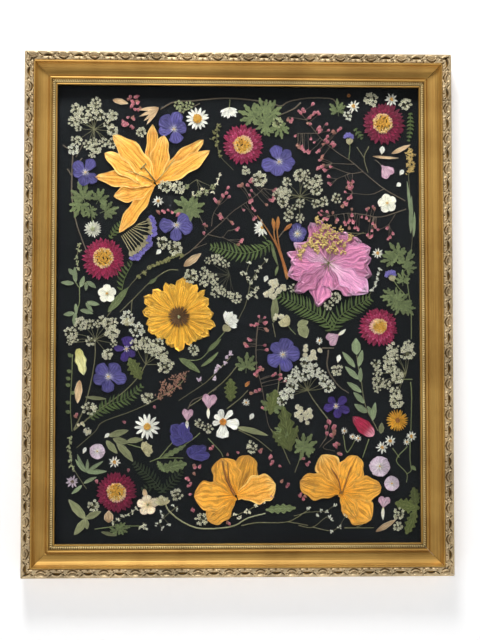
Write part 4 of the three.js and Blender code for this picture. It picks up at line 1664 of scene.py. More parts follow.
@dataclass(frozen=True)
class Studio:
    """The wall behind the frame, a floor far below it, the lights and the camera."""

    camera_place: tuple[float, float, float] = (-0.0259, -0.99011, -0.30482)
    camera_turn: tuple[float, float, float] = (-1.871, -1.593, 0.099)
    lens: float = 50.625
    wall_y: float = 0.0016
    floor_z: float = -1.5
    middle_z: float = -0.26535

    def sheet(self, name: str, corners: Sequence[tuple[float, float, float]], one_sided: bool) -> None:
        """Adds a pale sheet that isn't part of the frame.

        Args:
            name: its name.
            corners: its four corners.
            one_sided: whether it can't be seen from behind.
        """
        mesh = bpy.data.meshes.new(name)
        mesh.from_pydata(corners, [], [(0, 1, 2, 3)])
        made = bpy.data.objects.new(name, mesh)
        bpy.context.scene.collection.objects.link(made)
        material = bpy.data.materials.new(name)
        material.use_nodes = True
        material.node_tree.nodes.clear()
        w = Wiring(material.node_tree)
        pale = {"Base Color": (0.93, 0.93, 0.935), "Roughness": 0.9, "Emission Color": (1.0, 1.0, 1.0),
            "Emission Strength": 0.38}
        shader = w.node("ShaderNodeBsdfPrincipled", pale).outputs[0]
        if one_sided:
            behind = w.node("ShaderNodeNewGeometry").outputs["Backfacing"]
            clear = w.node("ShaderNodeBsdfTransparent").outputs[0]
            shader = w.node("ShaderNodeMixShader", {0: behind, 1: shader, 2: clear}).outputs[0]
        w.node("ShaderNodeOutputMaterial", {"Surface": shader})
        mesh.materials.append(material)

    def lamp(self, name: str, place: tuple[float, float, float], power: float, size: float) -> None:
        """Adds a square soft light that points at the middle of the frame.

        Args:
            name: its name.
            place: where it stands.
            power: its power in watts.
            size: its side in metres.
        """
        data = bpy.data.lights.new(name, "AREA")
        data.energy = power
        data.size = size
        lamp = bpy.data.objects.new(name, data)
        bpy.context.scene.collection.objects.link(lamp)
        lamp.location = place
        way = Vector((0, 0, self.middle_z)) - Vector(place)
        lamp.rotation_euler = way.to_track_quat("-Z", "Y").to_euler()

    def camera(self) -> None:
        """The camera in front of the frame, a little to the left of and below its middle."""
        tilt, swing, roll = (math.radians(angle) for angle in self.camera_turn)
        turn = Matrix.Rotation(roll, 3, "Z") @ Matrix.Rotation(swing, 3, "Y") @ Matrix.Rotation(tilt, 3,
            "X")
        rows = turn @ Matrix(((1, 0, 0), (0, 0, -1), (0, 1, 0)))
        right, down, forward = rows[0], rows[1], rows[2]
        data = bpy.data.cameras.new("camera")
        data.lens = self.lens
        data.sensor_width = 36.0
        camera = bpy.data.objects.new("camera", data)
        bpy.context.scene.collection.objects.link(camera)
        axes = Matrix((right, -down, -forward)).transposed().to_4x4()
        camera.matrix_world = Matrix.Translation(self.camera_place) @ axes
        bpy.context.scene.camera = camera

    def build(self) -> None:
        """Sets up the sheets, the lights and the camera."""
        y, low, high = self.wall_y, self.floor_z, 1.6
        self.sheet("backdrop", [(-3, y, low), (3, y, low), (3, y, high), (-3, y, high)], True)
        z = low
        self.sheet("floor", [(-3, -3, z), (3, -3, z), (3, 3, z), (-3, 3, z)], False)
        self.lamp("key_light", (-0.2, -0.85, 1.15), power=20.5, size=0.4)
        self.lamp("left_light", (-1.5, -1.5, -0.1), power=2.0, size=0.8)
        self.lamp("right_light", (1.5, -1.5, -0.1), power=2.4, size=0.8)
        self.lamp("back_light", (0.6, 1.6, 0.5), power=18.0, size=1.2)
        world = bpy.data.worlds.new("soft_light")
        world.use_nodes = True
        world.node_tree.nodes["Background"].inputs["Color"].default_value = (1, 1, 1, 1)
        world.node_tree.nodes["Background"].inputs["Strength"].default_value = 0.15
        bpy.context.scene.world = world
        bpy.context.scene.view_settings.view_transform = "Standard"
        self.camera()


# ---- what lies on the card ---------------------------------------------------------------


def rows(text: str, width: int = 2) -> np.ndarray:
    """Numbers in a text as rows of that many."""
    return np.array(text.split(), float).reshape(-1, width)


def paths(text: str) -> list[np.ndarray]:
    """Paths of x and z, parted by strokes."""
    return [rows(part) for part in text.split("/")]


def sized(*pairs: tuple[str, float]) -> list[tuple[np.ndarray, float]]:
    """Paths with one size each."""
    return [(rows(path), size) for path, size in pairs]


def even_petals(count: int, length: float, width: float, start: float = 0.0) -> np.ndarray:
    """Petals of one size, spread evenly from a starting direction."""
    return np.array([(start + index * 360 / count, length, width) for index in range(count)])


def flower(name: str, slot: str, x: float, z: float, petals: str | np.ndarray,
        **more: object) -> OpenFlower:
    """An open flower from its place and its petals, as a text or a table."""
    table = rows(petals, 3) if isinstance(petals, str) else petals
    return OpenFlower(name, slot, at=(x, z), petals=table, **more)


def strawflowers() -> list[Specimen]:
    """The five crimson strawflowers: middle, radius, disc, its radius, pale side and width, finishes.

    Returns:
        The specimens, with their tables in millimetres on the card.
    """
    table = [("strawflower_top", (4.5, 185), 22, (4, 184), 10.5, 10, 2.0, CRIMSON, ROSE),
        ("strawflower_top_right", (160, 208.5), 23, (158, 209), 11.5, 90, 0.2, DEEP_CRIMSON, CRIMSON),
        ("strawflower_left", (-147, 58.5), 22.5, (-147, 60), 11.5, 250, 0.6, CRIMSON, CRIMSON),
        ("strawflower_right", (152.5, -15.5), 21, (154, -14), 8.5, 190, 3.6, CRIMSON, ROSE),
        ("strawflower_bottom_left", (-131.5, -193.5), 21.5, (-132, -193), 10.5, 310, 1.8, DEEP_CRIMSON,
            CRIMSON)]
    return [Strawflower(name, "crimson_petals", True, *values) for name, *values in table]


def violet_flowers() -> list[Specimen]:
    """Geraniums, larkspurs and a viola.

    Returns:
        The specimens, with their tables in millimetres on the card.
    """
    slot = "violet_petals"
    solid = {"solid": True, "finish": VIOLET}
    dark = {"solid": True, "finish": PURPLE}
    shut = {"finish": LARKSPUR, "eye": None, "stamens": 0,
        "shape": replace(ROUND_PETAL, widest=0.6, fullness=0.55, frill=0.03, frills=4.0, ruffle=0.35)}
    return [flower("geranium_top", slot, -71, 201, "135 20 17 82 20 14 15 14 14 285 16 15 190 17 13",
            **solid),
        flower("geranium_under_parsley", slot, 44, 166,
            "105 19 14 197 20 16 45 18 11 2 18 11 330 16 12 260 16 15", **solid),
        flower("geranium_middle_left", slot, -68, 96, "178 19 16 40 16 14 348 18 16 268 18 13", **solid),
        flower("geranium_narrow", slot, -121.5, -39, "80 14 14 180 14 7 320 12 8 256 14.5 9", **dark),
        flower("geranium_lower_left", slot, -141, -69,
            "132 17.5 14 50 17.5 15 348 20 14 265 17.5 14 195 17 14", **solid),
        flower("geranium_centre", slot, 48, -45, "75 18.5 17 138 17 12 5 19 17 212 19 16 285 19.5 14",
            **solid),
        flower("geranium_deep_purple", slot, 106, -101, "38 14.5 9 128 12.5 8 190 14 9 280 13.5 9 335 16 9",
            **dark),
        flower("geranium_top_left", slot, -167, 153, "140 17 13 62 17 12 185 14 11 318 16 12 262 15 12",
            height=1.2),
        flower("viola", slot, 64, 87, "95 12 11 20 11 10 170 9.5 10 235 10 10 300 10 10", height=1.2,
            finish=VIOLA),
        flower("larkspur_upper", slot, -58, -140, "122 24 15 150 18 12 95 22 13 60 12 10 175 15 10",
            **shut),
        flower("larkspur_lower", slot, -53, -156, "35 21 11 8 22 11 60 15 10 84 11 8", **shut)]


def small_blooms() -> list[Specimen]:
    """Primroses, daisies, coreopsis, cosmos, bindweeds and the aster.

    Returns:
        The specimens, with their tables in millimetres on the card.
    """
    slot = "white_petals"
    primrose = {"solid": True, "finish": IVORY, "eye": GOLD_FLORET, "stamens": 6, "stamen_length": 3}
    daisy = {"solid": True, "finish": WHITE, "shape": replace(RAY, claw=0.5), "eye": GOLD_FLORET,
        "stamens": 0}
    bindweed = {"solid": True, "finish": BLUSH, "eye": GOLD_FLORET, "eye_radius": 0.9, "eye_beads": 4,
        "stamens": 5, "shape": replace(ROUND_PETAL, widest=0.75, fullness=0.45, notch=0.03)}
    rays = rows("""88 42 15 114 39 10 133 40 12 150 43 13 172 39 11 192 36 12 208 36 12 232 29 12 258 34 15
        274 37 11 295 31 8 314 34 11 330 38 11 347 40 12 4 37 12 30 37 13 45 40 7 62 39 8 72 38 9 102 36 9
        124 34 10 160 36 10 182 33 9 220 32 10 245 32 9 305 32 8 16 34 10""", 3)
    flowers = [flower("primrose_left", slot, -143, 21, even_petals(5, 10.2, 8.8, 20), **primrose),
        flower("primrose_right", slot, 163, 121, even_petals(5, 10.8, 9.2, 30), **primrose),
        flower("daisy_top", slot, -45.5, 213, even_petals(15, 12.8, 3.0), eye_radius=4.9, eye_beads=60,
            **daisy),
        flower("daisy_lower_left", slot, -99, -123, even_petals(13, 14.2, 3.3, 20), eye_radius=3.8,
            eye_beads=45, **daisy),
        flower("cosmos", slot, -17, -118,
            "100 13.5 7 54 15.5 6 348 17.5 12 268 17.5 14 145 11.5 6 188 11.5 6", solid=True, finish=WHITE,
            shape=TOOTHED_RAY, eye=ORANGE_EYE, eye_radius=3.6, eye_beads=34, stamens=0),
        flower("coreopsis", "yellow_petals", -65, -4, np.concatenate([rays, even_petals(15, 33, 8, 8)]),
            solid=True, finish=YELLOW, shape=TOOTHED_RAY, eye=PEARL, eye_radius=1.5, eye_beads=5,
            stamens=44, stamen_length=12.5, height=1.1, stamen=BROWN_EYE),
        flower("aster", "yellow_petals", 173, -116.5, np.concatenate([even_petals(27, 12.2, 1.5),
            even_petals(22, 9.0, 1.5, 7)]), solid=True, finish=ASTER, shape=RAY, eye=TWIG, eye_radius=2.6,
            eye_beads=22, stamens=0)]
    trumpets = (("left", -152.5, -149.5, 8.3), ("right", 153.5, -166.5, 11),
        ("lower_right", 166.5, -185, 8.1))
    return flowers + [flower(f"bindweed_{side}", "blush_petals", x, z,
        even_petals(6, radius, radius * 1.15, 15), stamen_length=radius * 0.35, **bindweed) for side, x, z,
        radius in trumpets]


def great_blooms() -> list[Specimen]:
    """The lily, the alstroemerias, the peony and the two loose petals.

    Returns:
        The specimens, with their tables in millimetres on the card.
    """
    def fan(name: str, slot: str, x: float, z: float, tips: str, **more: object) -> Fan:
        """Petals from one base to their tips."""
        return Fan(name, slot, True, base=(x, z), tips=rows(tips, 3), **more)

    shell = replace(BROAD_PETAL, frill=0.0, ragged=0.1, ruffle=0.12, cup=0.12)
    x, z = 98, 55
    threads = [(((x, z), (x + 9 * math.cos(k), z + 9 * math.sin(k))), 0.9) for k in (0.4, 1.3, 2.2, 3.4,
        4.1, 4.7, 5.6)]
    return [fan("lily", "orange_petals", -92, 142, """-131 88 16 -112 150 18 -156 150 18 -39 190 17 -130 200
            23 -82 194 20 -98 206 15 -134 121 21 -147 173 22 -30 174 19""", pistil=SEED_OLIVE,
            pistils=sized(("-91 143 -96 150 -104 160", 1.4), ("-107 157 -104 160 -101 163", 1.6),
            ("-90 143 -78 158 -70 168", 0.8), ("-94 144 -112 152 -122 156", 0.8))),
        fan("alstroemeria_left", "orange_petals", -3, -198,
            "-31 -227 25 -48 -194 32 40 -185 32 14 -155 29 -21 -158 31 -38 -210 20", pistil=TWIG,
            finishes=(AMBER, AMBER, ORANGE, AMBER, AMBER), shape=replace(shell, widest=0.62, claw=0.3),
            pistils=sized(("-18 -160 -13 -180 -5 -197", 2.2), ("-12 -162 -10 -182 -3 -196", 1.4))),
        fan("alstroemeria_right", "orange_petals", 111, -194,
            "141 -227 32 155 -189 27 66 -184 29 92 -153 29 129 -155 28 126 -222 18", pistil=TWIG,
            finishes=(AMBER, AMBER, AMBER, ORANGE), shape=replace(shell, widest=0.6, claw=0.3),
            pistils=sized(("111 -196 108 -180 100 -168", 1.6), ("112 -196 118 -178 122 -166", 1.2))),
        fan("peony", "pink_petals", x, z, """130 82 28 142 72 20 143 57 22 143 41 22 139 24 22 120 18 20 103
            26 20 84 10 22 67 20 18 55 44 19 54 62 18 60 73 18 80 98 20 92 101 22 116 88 26 58 56 16 66 35
            18 112 28 20""", spread=1.0, finishes=(PINK, PINK, PINK, PINK, MAUVE, PINK, PINK),
            shape=BROAD_PETAL, pistils=threads, pistil=SEED_OLIVE),
        fan("crimson_petal", "crimson_petals", 147, -133, "125 -114 15", finishes=(MAGENTA,), spread=0.0,
            shape=replace(BROAD_PETAL, widest=0.45, ragged=0.05)),
        fan("tulip_petal", "cream_petals", -174, -39, "-167 -67.5 11.5", finishes=(CREAM,), spread=0.0,
            shape=replace(LILY_PETAL, widest=0.42))]


def umbels() -> list[Specimen]:
    """Cow-parsley heads with their rays, and umbellets that lie alone.

    Returns:
        The specimens, with their tables in millimetres on the card.
    """
    def umbel(name: str, x: float, z: float, heads: str, stem: str = "", **more: object) -> Umbel:
        """One umbel from its centre, umbellets and stem."""
        route = [(x, z), *rows(stem)] if stem else ()
        return Umbel(name, "white_petals", centre=(x, z), heads=rows(heads, 3), stem=route, **more)

    def loose(name: str, heads: str, finish: Finish) -> Umbel:
        """Umbellets with no rays between them."""
        return Umbel(name, "white_petals", heads=rows(heads, 3), finish=finish)

    return [umbel("umbel_top_left", -158, 201, """-177 222 7 -172 212 6 -180 209 6 -175 202 4 -163 222 6
            -162 213 4 -156 229 6 -152 216 6 -138 216 6 -143 206 5 -138 199 6 -177 188 5.5 -148 186 5 -138
            185 5.5 -165 183 5 -158 187 4 -156 179 6 -160 173 4"""),
        umbel("umbel_left", -155.5, -29, """-171 -12 7 -161 -12 5 -153 -12 4 -148 -8 5 -142 -12 6 -136 -10 5
            -137 -21 7 -182 -22 6.5 -178 -29 4.5 -183 -32 3 -161 -31 5 -135 -33 4 -142 -45 6""",
            "-156 -50 -160 -75 -168 -105 -178 -126"),
        umbel("umbel_lower_left", -101, -56, """-112 -34 6 -101 -32 6 -97 -38 6 -104 -36 4 -88 -33 6 -91 -42
            5 -84 -44 7 -79 -57 8""", "-108 -68 -125 -86 -150 -104 -170 -120 -178 -127"),
        umbel("umbel_dark", -10, 42, """-34 57 4 -25 60 5 -19 57 4.5 -14 53 4 -38 45 5 -32 42 4 -28 38 5 -38
            34 5 -26 30 4 -25 22 5 -20 25 4.5 -15 22 4 -9 20 4 -2 16 5.5""", rays=DIM_STEM),
        umbel("umbel_upper_right", 67, 128, """66 151 6 74 152 5 76 142 5 85 145 6 85 135 5.5 84 120 4.5 92
            122 5 52 144 5 47 134 5 51 132 6 42 130 5 48 122 6 67 120 5 57 114 4.5 54 106 5 67 104 5"""),
        umbel("umbel_pale", 75, -84, """62 -62 4 60 -70 6 58 -80 6 52 -88 7 47 -96 5 70 -68 6 73 -54 6 81
            -62 7 90 -66 5 93 -74 6 98 -80 6 53 -72 4""", "84 -98 97 -115", finish=CHALK),
        umbel("umbel_right", 183, -66, """186 -36 6 184 -43 8 168 -38 6 169 -45 6 163 -50 6 165 -58 7 170
            -64 5 173 -70 6 161 -78 5 152 -64 5 150 -55 5 152 -75 6 151 -83 4 170 -86 6 172 -96 8"""),
        umbel("umbel_faint", -46, 146, "-28 138 3 -36 132 3 -44 130 3 -57 138 3", finish=PEARL),
        loose("umbellets_upper", """-107 198 5.5 -80 138 6.5 -66 138 7 -83 77 6 -69 71 8 -52 40 7 -49 -40
            5.5 7 156 5 22 147 8 107 126 5 184 231 6 98 9 5 106 18 5.5 58 27 4.5 145 236 7""", UMBEL),
        loose("umbellets_lower", """-99 -92 6 -161 -103 6.5 107 -62 6 -43 -120 5 -33 -125 5 14 -146 6 -40
            -223 6.5 -67 -196 6 -156 -208 6 174 -218 6 173 -231 5""", UMBEL),
        loose("umbellets_white", "-181 178 6 -110 -18 8 -121 -6 7 -163 -128 4 120 218 5", CHALK),
        loose("umbellets_green", "-66 228 5 -61 224 4.5 -54 228 4.5 42 209 6", PEARL)]


def sprigs() -> list[Specimen]:
    """Coral-bell sprigs, and bells that lie loose.

    Returns:
        The specimens, with their tables in millimetres on the card.
    """
    def sprig(name: str, stems: str, bells: str, **more: object) -> BellSprig:
        """One sprig from its stems and bells."""
        return BellSprig(name, "pink_petals", stems=paths(stems) if stems else (), bells=rows(bells),
            **more)

    return [sprig("coral_bells_top", """183 124 160 137 140 153 125 166 110 176 98 185 88 195 80 205 74 213
            68 220 / 74 213 55 216 / 88 198 65 198 / 127 164 103 165 / 137 156 122 154 105 160 / 122 154 108
            148 / 160 137 145 131 125 132""", """81 230 70 224 66 222 54 213 57 211 81 218 77 215 88 219 76
            209 96 208 88 204 90 201 98 201 103 200 109 201 79 192 83 188 97 194 93 186 97 188 103 187 104
            184 62 195 64 185 68 182 72 178 77 177 86 177 92 173 89 168 88 160 95 157 101 161 93 163 99 150
            99 143 120 144 125 145 119 138 117 133 122 137 123 128 116 122 114 118"""),
        sprig("coral_bells_middle", """-65 59 -50 70 -35 85 -20 98 -8 110 3 118 12 124 20 130 27 137 / -34
            86 -26 84 -18 83 -12 90 / -18 83 -12 80 / -30 95 -28 108 -22 118 / -50 70 -35 76 / -36 90 -43
            107""", """-38 97 -38 87 -25 122 -22 121 -12 137 -14 131 -17 127 -11 127 -20 108 -20 103 -7 98
            -1 93 2 78 -1 75 5 113 15 115 12 122 0 139 4 141 10 140 13 144 14 134 12 129 30 119 34 124 38
            126 40 136 18 105"""),
        sprig("coral_bells_right", """184 115 170 110 160 107 150 106 135 109 120 110 100 107 / 172 109 165
            98""", """88 110 91 112 97 111 103 110 94 104 97 103 107 100 108 103 124 114 124 108 126 100 120
            100 117 98 121 94 127 94 131 92 135 106 140 105 143 102 147 99 150 95 146 91 153 92 143 84 146
            85 163 94 169 88 166 84 142 115 147 117""", size=4.4),
        sprig("coral_bells_centre", """22 -8 20 -20 19 -35 19 -50 20 -62 24 -75 27 -90 29 -105 32 -120 37
            -130""", """22 -4 28 -5 28 -11 29 -17 14 -13 20 -12 28 -35 30 -40 7 -33 9 -36 11 -28 22 -62 18
            -66 25 -61 37 -68 45 -67 44 -72 50 -74 14 -87 19 -85 23 -83 26 -103"""),
        sprig("coral_bells_low", "95 -136 88 -146 / 103 -136 92 -146 105 -150",
            "99 -119 95 -124 104 -124 104 -129 96 -131 101 -133", size=6.0),
        sprig("loose_bells", "", """-119 236 -113 236 -116 231 -112 232 -116 228 -114 223 -110 222 -121 214
            -116 214 -127 210 -127 206 -122 207 -118 204 -87 109 -81 110 -77 112 -73 110 -67 107 -176 -112
            -91 -102 -124 -118 -119 -170 -153 -182 -12 -153 -1 -151 -30 -147 -47 -167 -42 -166 -48 -174 -54
            -180 -54 -187 -52 -196 -50 -212 -12 -226 23 -150 35 -155 35 -164 45 -166 47 -182 54 -186 37 -199
            107 -141 106 -145 109 -152 70 -158 74 -164 66 -198 70 -201""", size=4.6)]


def greenery() -> list[Specimen]:
    """Ferns, lobed leaves and plain leaves.

    Returns:
        The specimens, with their tables in millimetres on the card.
    """
    def fronds(name: str, finish: Finish, *pairs: tuple[str, float], **more: object) -> Fern:
        """Fern fronds from their paths and longest leaflets."""
        return Fern(name, "card", fronds=sized(*pairs), finish=finish, **more)

    def plain(name: str, finish: Finish, leaves: str, **more: object) -> PlainLeaves:
        """Plain leaves from a table."""
        return PlainLeaves(name, "card", leaves=rows(leaves, 5), finish=finish, **more)

    def lobed(name: str, finish: Finish, leaves: str, **more: object) -> LobedLeaves:
        """Lobed leaves from a table."""
        return LobedLeaves(name, "card", leaves=rows(leaves, 4), finish=finish, **more)

    return [fronds("fern_middle", FERN, ("36 77 25 70 12 66 -2 66 -18 70 -29 72", 12.0)),
        fronds("fern_right", FERN, ("102 -18 92 -5 75 5 58 13 42 20", 14.0),
            ("102 -18 110 -4 120 4 132 11 143 16", 14)),
        fronds("fern_lower_left", FERN, ("-160 -113 -140 -100 -120 -92 -106 -80", 10)),
        fronds("fern_one_sided", FERN, ("-127 25 -124 38 -116 54", 11), sides=(1,)),
        fronds("fern_tips", FERN, ("189 221 189 205 187 191", 5), ("128 203 135 193", 5),
            ("-140 82 -129 98", 6)),
        fronds("fern_dark", DARK_FERN, ("-82 -193 -95 -178 -112 -163", 9), ("-82 -193 -62 -172", 8),
            ("-90 -188 -104 -190", 6)),
        lobed("parsley_left", LEAF,
            "-172 132 12 110 -174 112 11 250 -150 128 9 60 -140 113 10 20 -160 108 7 300"),
        lobed("geranium_leaf_middle", LEAF, "-60 117 13 150 -46 116 11 20 -53 108 9 270"),
        lobed("parsley_top", LEAF, """10 218 12 165 25 228 10 110 38 226 10 60 24 216 9 100 35 217 9 50 26
            205 8 200 33 203 8 20 46 200 9 280 108 228 9 100"""),
        lobed("parsley_right", LEAF, """171 69 11 130 163 61 9 160 184 62 10 75 188 52 8 40 162 20 8 180 168
            12 8 200 173 21 8 100 176 5 8 240 182 14 9 20 187 4 8 320 180 40 8 90"""),
        lobed("cut_leaves_middle", LEAF,
            "8 -52 11 90 37 -96 12 80 74 -140 12 60 70 -150 10 250 45 -129 8 200"),
        plain("dark_leaves", MOSS, """-9 -96 -9 -71 15 56 -150 48 -101 20 54 -148 37 -128 12 34 -110 40 -83
            16 55 -146 64 -122 9 197 -212 170 -206 17 193 -210 190 -189 13 193 -214 182 -240 13 -106 -72
            -119 -49 16""", shape=TOOTHED_LEAF, curl=3.0),
        plain("herb_leaves", LEAF, """-84 -157 -57 -143 7 -84 -169 -56 -163 15 -88 -160 -80 -172 7 62 -211
            29 -213 11""", shape=TOOTHED_LEAF, curl=3.0),
        lobed("small_parsley", LEAF, "-124 -232 7 10 -134 -233 6 150"),
        plain("leaves_middle", LEAF, """-142 1 -120 28 8 -34 -42 -19 -28 5 -41 -58 -22 -42 4 -65 -49 -42 -65
            7 -98 32 -89 38 4 36 77 43 52 3.5 43 52 40 41 3"""),
        plain("tall_stem_leaves", SAGE, "189 88 190 130 4.5 190 102 185 146 3.5 192 84 193 112 3.2",
            curl=4.0),
        plain("sage_leaves", DUSTY, """-2 -124 32 -133 6 68 -12 74 -27 12 64 -14 76 -9 9 38 -10 39 20 8 -166
            -91 -143 -93 4 -148 -236 -131 -240 4 155 -131 156 -119 6"""),
        plain("leaves_lower_left", DUSTY, """-141 -133 -119 -127 7 -136 -136 -118 -140 7 -121 -139 -103 -137
            6 -143 -138 -131 -152 7 -132 -141 -114 -161 8 -165 -222 -183 -201 9 -165 -222 -148 -214 7 -165
            -222 -177 -239 8 -165 -222 -163 -233 6"""),
        plain("rosette_leaves", SAGE, """-164 -172 -174 -152 4 -164 -172 -176 -158 4 -164 -172 -163 -158 3.5
            -164 -172 -146 -160 4 -164 -172 -142 -171 5 -167 -184 -153 -177 4 -169 -186 -180 -195 4"""),
        plain("left_sprig_leaves", SAGE, """-179 41 -185 48 5 -179 32 -193 33 5 -172 28 -168 40 5 -165 34
            -155 27 5 -166 33 -166 24 4 -165 12 -151 9 5 -166 11 -158 1 4 -172 3 -158 -1 5 -178 0 -190 -2 5
            -177 10 -176 -2 4 -177 0 -178 -15 5 -177 33 -178 50 5"""),
        plain("privet_leaves", SAGE, """129 -45 128 -27 10 131 -58 135 -40 6 127 -59 113 -42 6 131 -72 116
            -58 6 133 -75 133 -59 5 134 -86 118 -75 6 137 -98 125 -86 6 140 -108 126 -99 7 146 -113 140 -101
            5 146 -117 149 -97 6"""),
        plain("small_round_leaves", LEAF, """-181 -48 -185 -44 4 -181 -64 -186 -62 4 -182 -72 -187 -70 4
            -182 -79 -187 -77 4 -181 -88 -177 -85 4 -182 -98 -187 -96 4 -182 -108 -187 -106 4 188 -166 193
            -171 4""")]


def spikes() -> list[Specimen]:
    """Seed and bud spikes, statice and the astilbe head.

    Returns:
        The specimens, with their tables in millimetres on the card.
    """
    def spike(name: str, finish: Finish, stems: str, spots: str, **more: object) -> BeadSpike:
        """One spike from its stems and knots."""
        return BeadSpike(name, "cream_petals", stems=paths(stems) if stems else (), spots=rows(spots),
            finish=finish, **more)

    fan = rows("-94 103 -92 99 -91 92 -91 86 -97 80 -96 74 -100 70 -104 66 -107 63 -110 59 -114 59")
    feet = np.linspace((-110, 97), (-128, 84), len(fan))
    slant = np.degrees(np.arctan2(*(fan - feet).T[::-1]))
    return [spike("olive_spike_top", SEED_OLIVE, "-23 208 -24 190 -20 172 -6 157",
            "-22 206 -27 198 -28 192 -23 188 -25 184 -21 177 -20 172 -24 202 -25 195"),
        spike("olive_spike_middle", SEED_OLIVE, "-62 64 -80 57 -97 49 -115 34 -143 -4",
            "-62 63 -72 62 -80 57 -88 54 -97 49 -67 64 -76 60 -84 55 -92 52 -103 44 -109 39", knot=13),
        spike("white_spike_right", CHALK, "155 48 150 34 143 20 134 8",
            "155 48 152 38 149 30 145 24 153 43 150 34"),
        spike("green_spike_left", PEARL, "-173 76 -176 60 -175 46",
            "-173 74 -176 60 -175 48 -174 68 -176 54"),
        spike("green_spike_low", PEARL, "-181 -133 -183 -150 -178 -168 -164 -190",
            "-181 -135 -183 -145 -182 -155 -180 -165 -178 -168 -183 -150 -182 -160 -182 -140"),
        spike("tall_green_spike", SEED_GOLD, "189 182 187 155 188 135 188 120 191 100 190 75 187 60",
            "189 180 186 176 190 173 187 169 191 166 186 163 189 159 187 156 188 178 189 170 190 161",
            knot=10, spread=2.4, size=1.4),
        spike("astilbe", RUST, "-57 -68 -65 -78 -88 -93 -115 -106 -147 -118 -155 -128 -175 -146",
            """-58 -66 -63 -68 -60 -72 -66 -73 -71 -70 -68 -77 -74 -78 -72 -83 -80 -75 -78 -82 -80 -88 -85
            -85 -86 -91 -64 -79 -75 -88 -83 -80""", knot=9, spread=2.8, size=1.4),
        spike("gold_clusters", SEED_GOLD,
            "115 89 127 88 140 88 / 125 84 137 89 / 88 100 92 84 84 72 70 67 / 92 84 112 90",
            """85 103 88 100 93 95 97 94 104 90 112 92 97 88 90 86 83 86 78 80 88 82 92 80 95 76 85 78 76 76
            72 74 66 67 70 68 84 72 86 68 66 62 100 72 98 68 104 76 110 78 106 68 115 76 120 80 123 84 112
            66 90 91 95 84 101 82 107 84 80 74 91 74""", knot=14, spread=2.7, size=1.9, height=3.4,
            threads=False, scales=False),
        spike("grey_sprays", UMBEL, "12 30 10 20 7 8 2 -2 -3 -12 / 12 30 20 46 30 58 / 10 33 8 43 12 55",
            "30 58 24 50 20 46 12 55 8 43 3 44 10 38 14 34 19 39 20 26 17 23 13 20 10 17 19 18", knot=6),
        spike("cream_spike_top", BUTTER, "-52 128 -38 132 -26 140 -20 154",
            "-50 130 -42 132 -36 133 -28 132 -40 136 -25 142 -21 152 -23 147"),
        spike("cream_spike_low", BUTTER, "27 -204 15 -211 2 -217 -8 -220",
            "27 -204 18 -209 8 -214 12 -216 -4 -218 1 -222 22 -206", knot=6, spread=1.8),
        spike("seed_clusters_low", UMBEL, "-103 -226 -103 -233 / -110 -211 -120 -218 -130 -223 -136 -227",
            "-103 -229 -100 -232 -106 -231 -110 -211 -120 -218 -130 -223 -136 -227 -115 -215 -125 -220"),
        spike("white_dots", CHALK, "-66 -209 -75 -216 -86 -226",
            "-84 -214 -71 -208 -66 -212 -74 -229 -82 -219 -84 -225 -88 -228 -83 -232", knot=4),
        spike("grey_bells", BLUSH, "-9 -48 -28 -68 -38 -77 -65 -95",
            "-9 -44 -13 -48 -15 -54 -23 -58 -25 -63 -43 -72 -26 -71", knot=5, size=2.2),
        spike("white_buds", CHALK,
            "65 -230 80 -232 95 -221 / 60 -220 76 -216 96 -215 / 80 -232 100 -236 109 -232",
            "76 -212 96 -215 98 -221 101 -224 104 -208 117 -219 109 -232 101 -236 86 -220 90 -214", knot=5),
        Tufts("statice", "violet_petals", finish=STATICE, florets=7, width=0.62, height=1.6,
            heads=[(x, z, 2.6, angle, 200) for (x, z), angle in zip(fan, slant)]),
        Tufts("statice_calyces", "cream_petals", finish=CALYX, florets=5, width=0.3,
            heads=[((x * 3 + u) / 4, (z * 3 + v) / 4, 4.2, angle, 34) for (x, z), (u, v),
            angle in zip(fan, feet, slant)], stems=[np.array([foot, (foot + tip) / 2, tip]) for foot,
            tip in zip(feet, fan)], wood=CALYX),
        Tufts("blue_head_calyces", "cream_petals", finish=CALYX, florets=6, width=0.4,
            heads=[(121.5, 189, 4.5, 88, 70), (168.5, 38.5, 4.5, 110, 70)]),
        Tufts("blue_heads", "violet_petals", finish=STATICE, florets=8, width=0.5, height=1.7,
            heads=[(119, 196, 3, 100, 170), (123, 196, 3, 60, 170), (163, 44, 3, 130, 170),
            (168, 45, 3, 80, 170)], stems=paths("122 190 122 180 121 170 / 168 40 174 30 183 20"))]


